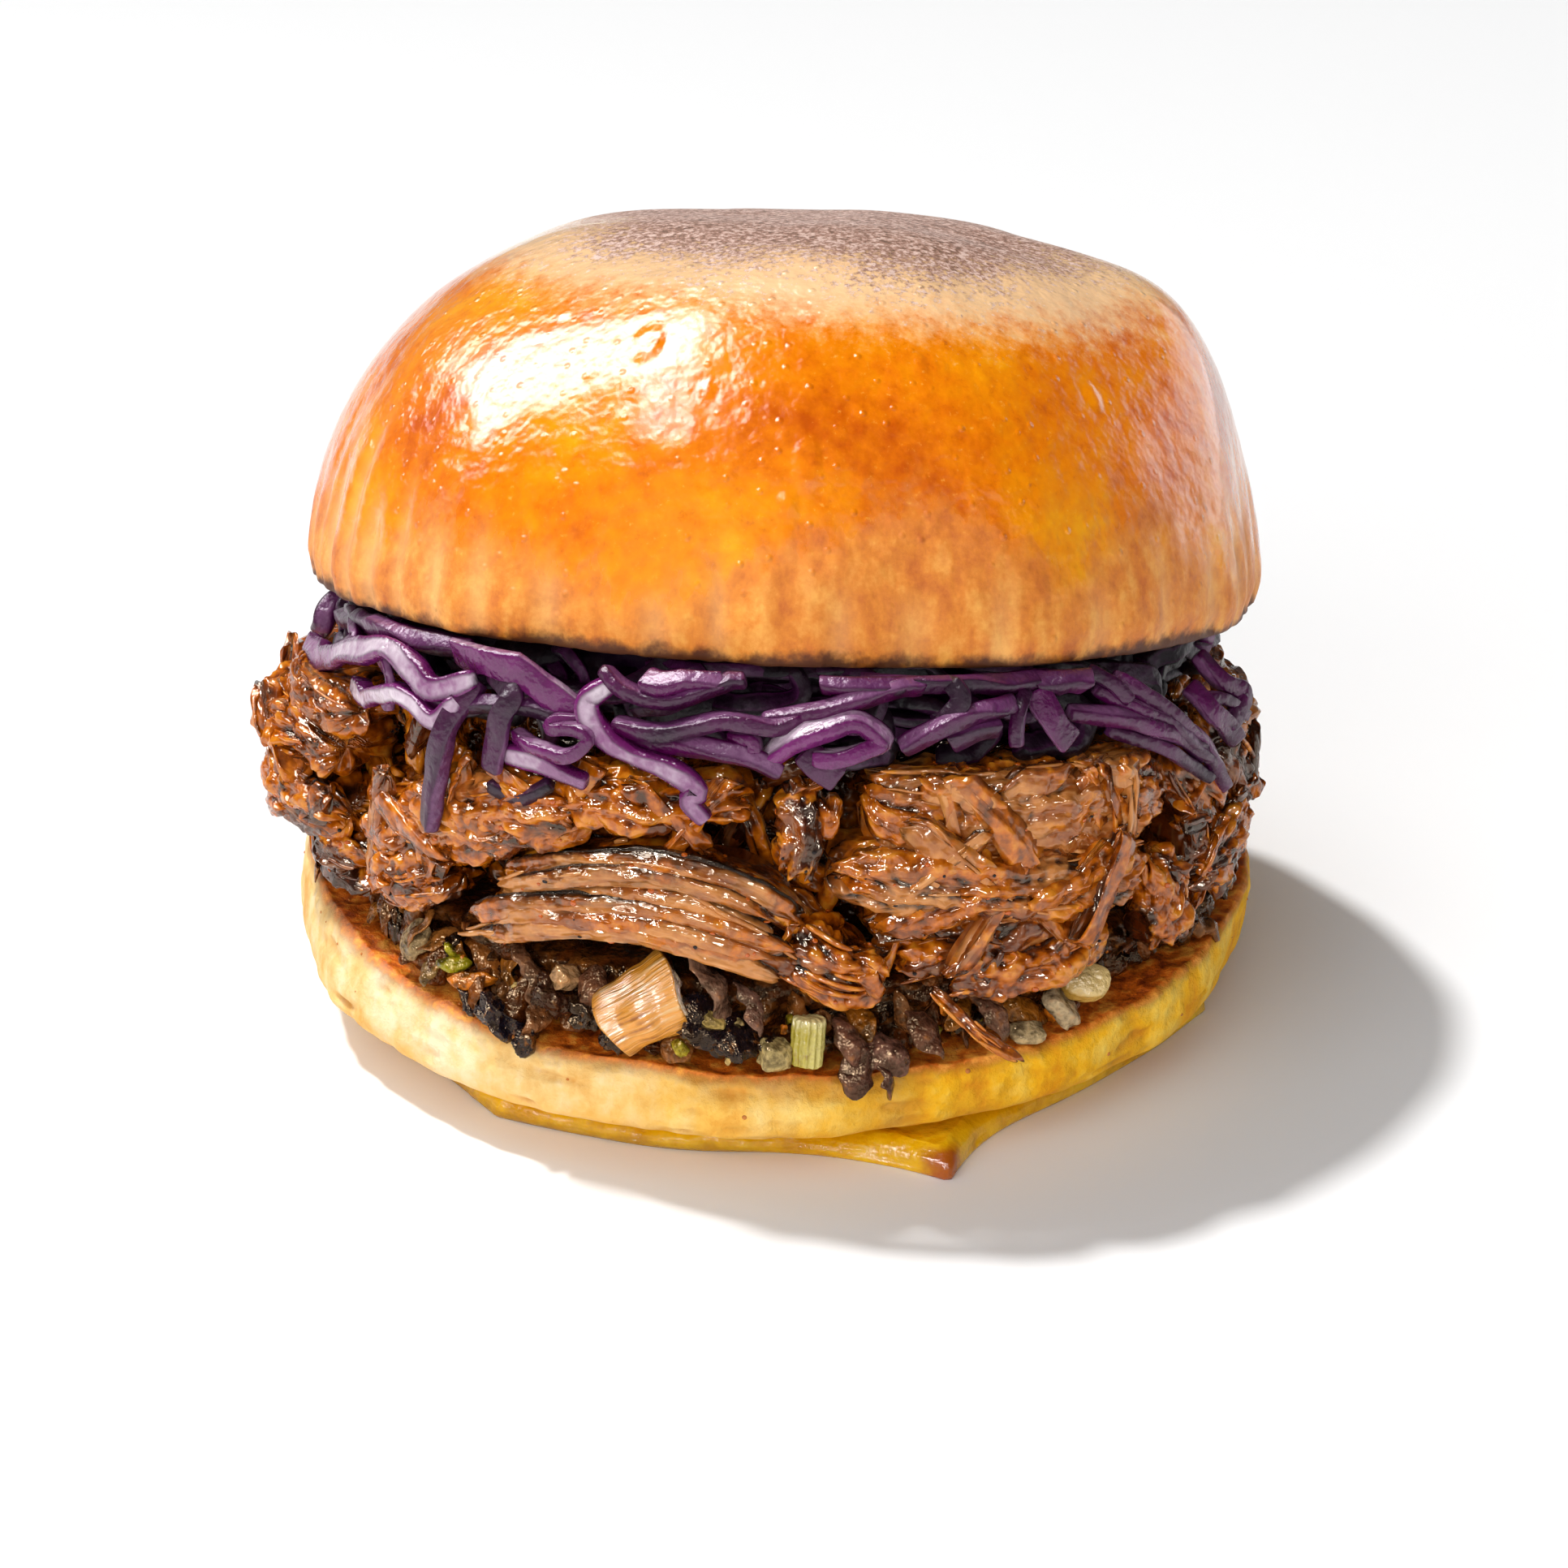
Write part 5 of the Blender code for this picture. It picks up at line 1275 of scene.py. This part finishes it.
class Grower(Maker):
    """A Geometry Nodes tree with named inputs."""

    def __init__(self, name, **inputs):
        self.tree = bpy.data.node_groups.new(name, "GeometryNodeTree")
        for title, kind in {"Geometry": "Geometry", **inputs}.items():
            self.tree.interface.new_socket(title, in_out="INPUT", socket_type="NodeSocket" + kind)
        self.tree.interface.new_socket("Geometry", in_out="OUTPUT", socket_type="NodeSocketGeometry")
        self.entry = self.tree.nodes.new("NodeGroupInput")
        self.exit = self.tree.nodes.new("NodeGroupOutput")

    def given(self, title):
        """One of the tree's inputs."""
        return Wire(self, self.entry.outputs[title])

    def end(self, shape):
        """Makes the instances real and gives them their finish."""
        real = self.node("GeometryNodeRealizeInstances", None, {"Geometry": shape})
        dressed = self.node("GeometryNodeSetMaterial", None,
                            {"Geometry": real, "Material": self.given("Finish")})
        self.put(self.exit, "Geometry", dressed)
        return self

    def grow(self, name, mesh, **values):
        """A plain mesh piece grown by the tree."""
        holder = show(name, mesh)
        modifier = holder.modifiers.new("Grow", "NODES")
        modifier.node_group = self.tree
        for item in self.tree.interface.items_tree:
            if item.in_out == "INPUT" and item.name in values:
                modifier[item.identifier] = values[item.name]
        depsgraph = bpy.context.evaluated_depsgraph_get()
        holder.update_tag()
        grown = bpy.data.meshes.new_from_object(holder.evaluated_get(depsgraph))
        holder.modifiers.clear()
        holder.data = grown
        grown.polygons.foreach_set("use_smooth", np.ones(len(grown.polygons), bool))
        return holder


def grain_grower():
    """Small uneven grains strewn over a surface."""
    grower = Grower("strewn_grains", Surface="Object", Density="Float", Smallest="Float", Largest="Float",
                    Flatness="Float", Seed="Int", Finish="Material")
    ground = grower.node("GeometryNodeObjectInfo", None, {"Object": grower.given("Surface")},
                         output="Geometry")
    spots = grower.node("GeometryNodeDistributePointsOnFaces", None,
                        {"Mesh": ground, "Density": grower.given("Density"), "Seed": grower.given("Seed")})
    facing = Wire(grower, spots.socket.node.outputs["Rotation"])
    ball = grower.node("GeometryNodeMeshIcoSphere", None, {"Radius": 1.0, "Subdivisions": 2})
    size = grower.node("FunctionNodeRandomValue", {"data_type": "FLOAT"},
                       {2: grower.given("Smallest"), 3: grower.given("Largest"),
                        "Seed": grower.given("Seed")}, output=1)
    uneven = grower.node("FunctionNodeRandomValue", {"data_type": "FLOAT_VECTOR"},
                         {0: (0.6, 0.5, 0.8), 1: (1.0, 0.9, 1.0), "Seed": 3}, output=0)
    flat = grower.node("ShaderNodeCombineXYZ", None, {0: 1.0, 1: 1.0, 2: grower.given("Flatness")})
    scale = grower.node("ShaderNodeVectorMath", {"operation": "MULTIPLY"}, {0: uneven, 1: flat})
    scale = grower.node("ShaderNodeVectorMath", {"operation": "SCALE"}, {0: scale, "Scale": size})
    return grower.end(grower.node("GeometryNodeInstanceOnPoints", None,
                                  {"Points": spots, "Instance": ball, "Rotation": facing, "Scale": scale}))


def strand_grower():
    """Round strands along the lines of a mesh, as thick as its points say."""
    grower = Grower("loose_strands", Sides="Int", Finish="Material")
    thick = grower.node("GeometryNodeInputNamedAttribute", {"data_type": "FLOAT"}, {"Name": "thick"})
    curve = grower.node("GeometryNodeMeshToCurve", None, {0: grower.given("Geometry")})
    ring = grower.node("GeometryNodeCurvePrimitiveCircle", {"mode": "RADIUS"},
                       {"Resolution": grower.given("Sides"), "Radius": 1.0})
    return grower.end(grower.node("GeometryNodeCurveToMesh", None,
                                  {"Curve": curve, "Profile Curve": ring, "Scale": thick, "Fill Caps": True}))


def strand_lines(strands):
    """A mesh of open lines; each strand is its points, its thickness along it, its look and its grain."""
    mesh = bpy.data.meshes.new("strand_lines")
    points, thick, look, grain = (np.concatenate(rows) for rows in zip(*strands))
    counts = [len(strand[0]) for strand in strands]
    starts = np.cumsum(counts) - counts
    edges = np.vstack([together(np.arange(n - 1), np.arange(1, n)) + at for n, at in zip(counts, starts)])
    mesh.from_pydata(((points + MIDDLE) * MM).tolist(), edges.tolist(), [])
    add_mark(mesh, "thick", thick.astype(np.float32) * MM)
    add_mark(mesh, "look", look)
    add_mark(mesh, "grain", grain)
    return mesh


def lamb_strands():
    """Loose fibres lying on the chunks along their grain, and frayed out past their ends."""
    dice = np.random.default_rng(51)
    draw = dice.uniform
    strands = []
    for number in range(LOOSE_STRANDS):
        if number % 5 < 4:
            stops, width, depth, tone, sauce, _ = LAMB_CHUNKS[dice.integers(len(LAMB_CHUNKS))]
            guide = Guide(trail(stops), 60)
            across, lift = draw(-0.55, 0.55) * width, 0.42 * depth + draw(-0.6, 0.5)
            lift *= bulge(across / width, 1.7) if abs(across) < 0.58 * width else 0.2
        else:
            middle, half = draw(-180, 180), draw(3, 8)
            level = draw(RELISH_TOP + 0.05, LAMB_TOP - 0.05)
            stops = polar(middle + np.array((-1.0, 0.0, 1.0)) * half, 0.0, 51.5 + draw(-1.0, 1.6, 3))
            guide = Guide(on_levels(stops, level + draw(-0.12, 0.12, 3)), 60)
            across, lift, tone, sauce = 0.0, 0.3, 0.4, 0.5
        reach = draw(0.12, 0.4)
        start = draw(-0.02, 1.0 - reach)
        share = np.linspace(start, start + reach, 16)
        line, out, up = guide.at(share)
        gone = share * guide.length
        track = together(gone, 0.0, 4.1 * number)
        slant = draw(-0.10, 0.10) * (gone - gone.mean())
        sway = across + 0.5 * relief(track, 5.0, number) + slant
        stand = lift + 0.45 * relief(track, 4.0, number + 1) + 0.15
        points = line + up * sway[:, None] + out * stand[:, None]
        round_end = np.sqrt(np.clip(1 - np.abs(np.linspace(-1, 1, 16)) ** 3, 0, 1))
        thick = draw(0.13, 0.36) * (0.35 + 0.65 * round_end)
        points = tuck(points[:, None, :], RELISH_TOP, LAMB_TOP, HANGS_BEYOND)[:, 0]
        wet = np.clip(sauce + 0.4 * relief(points, 5.0, 71) - 0.1, 0, 1)
        pale = np.clip(tone + draw(0.0, 0.35), 0, 1)
        strands.append((points, thick, together(0.1, wet, pale), track))
    return strand_lines(strands)


# ---------------------------------------------------------------- putting it together

def stand_for(piece, nodes):
    """The piece rides on the burger and stands for its solids."""
    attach(piece, "root")
    if nodes:
        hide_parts(*nodes)
    return piece


glaze = glaze_finish()
bread = heel_finish()
cheese = cheese_finish()
meat = lamb_finish()
cabbage = cabbage_finish()
relish = relish_finish()

lid = stand_for(build_lid(glaze), ["bun_top"])
heel = stand_for(build_heel(bread), ["bun_bottom"])
stand_for(build_cheese(cheese), ["cheese_slice"])

chunks, flakes = build_chunks(meat)
stand_for(chunks, ["lamb"])
stand_for(flakes, [])
stand_for(build_tears(meat), [])
stand_for(heap_core("lamb_core", RELISH_TOP, LAMB_TOP, 48.5, 1.0, meat, 81, front=7.0), [])
stand_for(build_slaw(cabbage), ["slaw"])
shadow = Finish("cabbage_shadow", Base_Color=paint(30, 4, 32), Roughness=0.5).material
stand_for(heap_core("slaw_core", LAMB_TOP, 1.0, 46.0, 1.2, shadow, 91, front=4.0), [])
for number, piece in enumerate(build_relish(relish)):
    stand_for(piece, ["relish"] if number == 0 else [])
stand_for(heap_core("relish_core", 0.0, RELISH_TOP, 51.6, 1.4, relish, 86, tints=MUSH), [])

leek_axis = unit(np.array((0.80, 0.05, 0.45)))
leek_side = unit(np.cross(leek_axis, np.array((-0.30, -0.60, 0.75))))
leek_placing = np.stack((leek_side, np.cross(leek_side, leek_axis), leek_axis), axis=1)
leek = leek_finish()
stand_for(build_leek(leek, polar(-105.6, 20.2, 54.0), 8.8, 4.3, leek_placing), ["browned_leek"])
green = vegetable_finish("green_stalk", (176, 158, 50), (210, 194, 104), (222, 208, 150))
stand_for(vegetable_piece("cut_stalk", green, polar(-87.0, 17.4, 55.0), (4.6, 4.4, 5.6),
                          np.degrees((-0.2, 0.12, 0.2)), ridges=14, square=0.0, blunt=0.1),
          ["stalk_slice"])
ivory = vegetable_finish("pale_slice", (196, 148, 58), (214, 174, 88), (226, 196, 130))
stand_for(vegetable_piece("soft_slice", ivory, polar(-52.5, 18.4, 54.4), (7.0, 5.0, 2.6),
                          np.degrees((0.75, 0.1, 0.2)), square=0.1), ["garlic_slice"])

strewn = grain_grower()
pepper = Finish("cracked_pepper", Base_Color=paint(26, 18, 16), Roughness=0.45).material
sauce = Finish("sauce_beads", Base_Color=paint(186, 84, 6), Roughness=0.10, IOR=1.55,
               Specular_IOR_Level=0.8).material
crumb = Finish("toast_crumbs", Base_Color=paint(196, 120, 52), Roughness=0.7).material
for name, ground, finish, density, smallest, largest, flatness, seed, slot in (
        ("pepper_specks", chunks, pepper, 16000.0, 0.14, 0.36, 0.7, 3, "braised_lamb"),
        ("sauce_drops", chunks, sauce, 26000.0, 0.16, 0.5, 0.45, 5, "braised_lamb"),
        ("heel_crumbs", heel, crumb, 12000.0, 0.12, 0.34, 0.6, 7, "toasted_bread")):
    grains = strewn.grow(name, bpy.data.meshes.new(name), Surface=ground, Density=density,
                         Smallest=smallest * MM, Largest=largest * MM, Flatness=flatness, Seed=seed,
                         Finish=finish)
    stand_for(grains, [])
stand_for(strand_grower().grow("lamb_strands", lamb_strands(), Sides=6, Finish=meat), [])


# ---------------------------------------------------------------- stage, light and camera

FLOOR_SIZE = 8.0
LAMP_LIFT = (0.0, 0.0, 0.05)     # all lamps are raised by this
SUN_DISTANCE = 1.5
SENSOR_WIDTH = 36.0
LENS = 88.881988
LENS_SHIFT = 0.00207039
CAMERA_DISTANCE = 450.0
CAMERA_CLIMB = 22.0        # elevation of the camera above its target
CAMERA_DROP = 24.93        # angle it looks down
CAMERA_TARGET_Z = 47.5


def build_floor():
    """A plain pale floor."""
    bpy.ops.mesh.primitive_plane_add(size=FLOOR_SIZE)
    floor = bpy.context.object
    floor.name = "pale_floor"
    floor.data.materials.append(Finish("pale_floor", Base_Color=(0.92, 0.92, 0.92), Roughness=0.9).material)


def hang(lamp, power, bearing, elevation, distance, glossy, diffuse):
    """Puts a lamp in the room, aimed at the burger."""
    lamp.energy = power
    holder = show(lamp.name, lamp)
    flat = distance * math.cos(math.radians(elevation))
    holder.location = polar(bearing, distance * math.sin(math.radians(elevation)), flat) + LAMP_LIFT
    holder.rotation_euler = (-holder.location.normalized()).to_track_quat("-Z", "Y").to_euler()
    holder.visible_glossy = glossy
    holder.visible_diffuse = diffuse
    return holder


def soft_light(name, bearing, elevation, distance, size, power, glossy=True, diffuse=True, only=None):
    """A rectangular soft light, kept off all but some pieces where only says so."""
    lamp = bpy.data.lights.new(name, "AREA")
    lamp.shape = "RECTANGLE"
    lamp.size, lamp.size_y = size
    holder = hang(lamp, power, bearing, elevation, distance, glossy, diffuse)
    holder.light_linking.receiver_collection = only


def wide_sun(name, bearing, elevation, spread, strength):
    """Even light from a whole part of the room, without a reflection of its own."""
    lamp = bpy.data.lights.new(name, "SUN")
    lamp.angle = math.radians(spread)
    hang(lamp, strength, bearing, elevation, SUN_DISTANCE, False, True)


def build_camera():
    """A camera that looks down on the open front."""
    lens = bpy.data.cameras.new("front_camera")
    lens.sensor_width = SENSOR_WIDTH
    lens.lens = LENS
    lens.shift_x = LENS_SHIFT
    camera = show("front_camera", lens)
    climb = math.radians(CAMERA_CLIMB)
    away = np.array((0.0, -CAMERA_DISTANCE * math.cos(climb),
                     CAMERA_TARGET_Z + CAMERA_DISTANCE * math.sin(climb)))
    camera.location = (away + MIDDLE) * MM
    camera.rotation_euler = (math.radians(90.0 - CAMERA_DROP), 0.0, 0.0)
    bpy.context.scene.camera = camera


build_floor()
crust = bpy.data.collections.new("crust")
crust.objects.link(lid)
filling = bpy.data.collections.new("filling")
served = (meat, relish, leek, sauce, green, ivory, cheese)
for piece in bpy.context.scene.objects:
    if piece.material_slots and piece.material_slots[0].material in served:
        filling.objects.link(piece)
soft_light("key_softbox", 156.0, 55.0, 0.75, (0.40, 0.74), 1.0)
soft_light("key_shine", 156.0, 50.0, 0.74, (0.30, 0.60), 6.5, diffuse=False)
soft_light("top_shine", 163.0, 71.5, 0.80, (0.66, 0.20), 4.0, diffuse=False)
soft_light("rim_glow", 38.0, 8.0, 0.8, (0.5, 0.4), 0.9, only=crust)
soft_light("front_fill", -114.0, 26.0, 0.9, (0.9, 0.6), 4.2, glossy=False)
soft_light("front_card", -60.0, 24.0, 0.9, (0.9, 0.4), 0.8, diffuse=False)
for name, bearing, elevation, size, power in (
        ("left_shine", -152.0, 34.0, 0.3, 1.6), ("left_spark", -150.0, 44.0, 0.16, 8.0),
        ("high_spark", -108.0, 54.0, 0.12, 3.6), ("front_spark", -124.0, 34.0, 0.10, 3.2),
        ("right_spark", -62.0, 34.0, 0.09, 2.4), ("low_spark", -112.0, 14.0, 0.06, 1.0)):
    soft_light(name, bearing, elevation, 0.9, (size, size), power, diffuse=False, only=filling)
wide_sun("key_sun", 150.0, 64.0, 4.0, 2.4)
wide_sun("room_front", -95.0, 32.0, 100.0, 1.0)
build_camera()

bpy.context.scene.view_settings.view_transform = "Standard"
Room("pale_room")
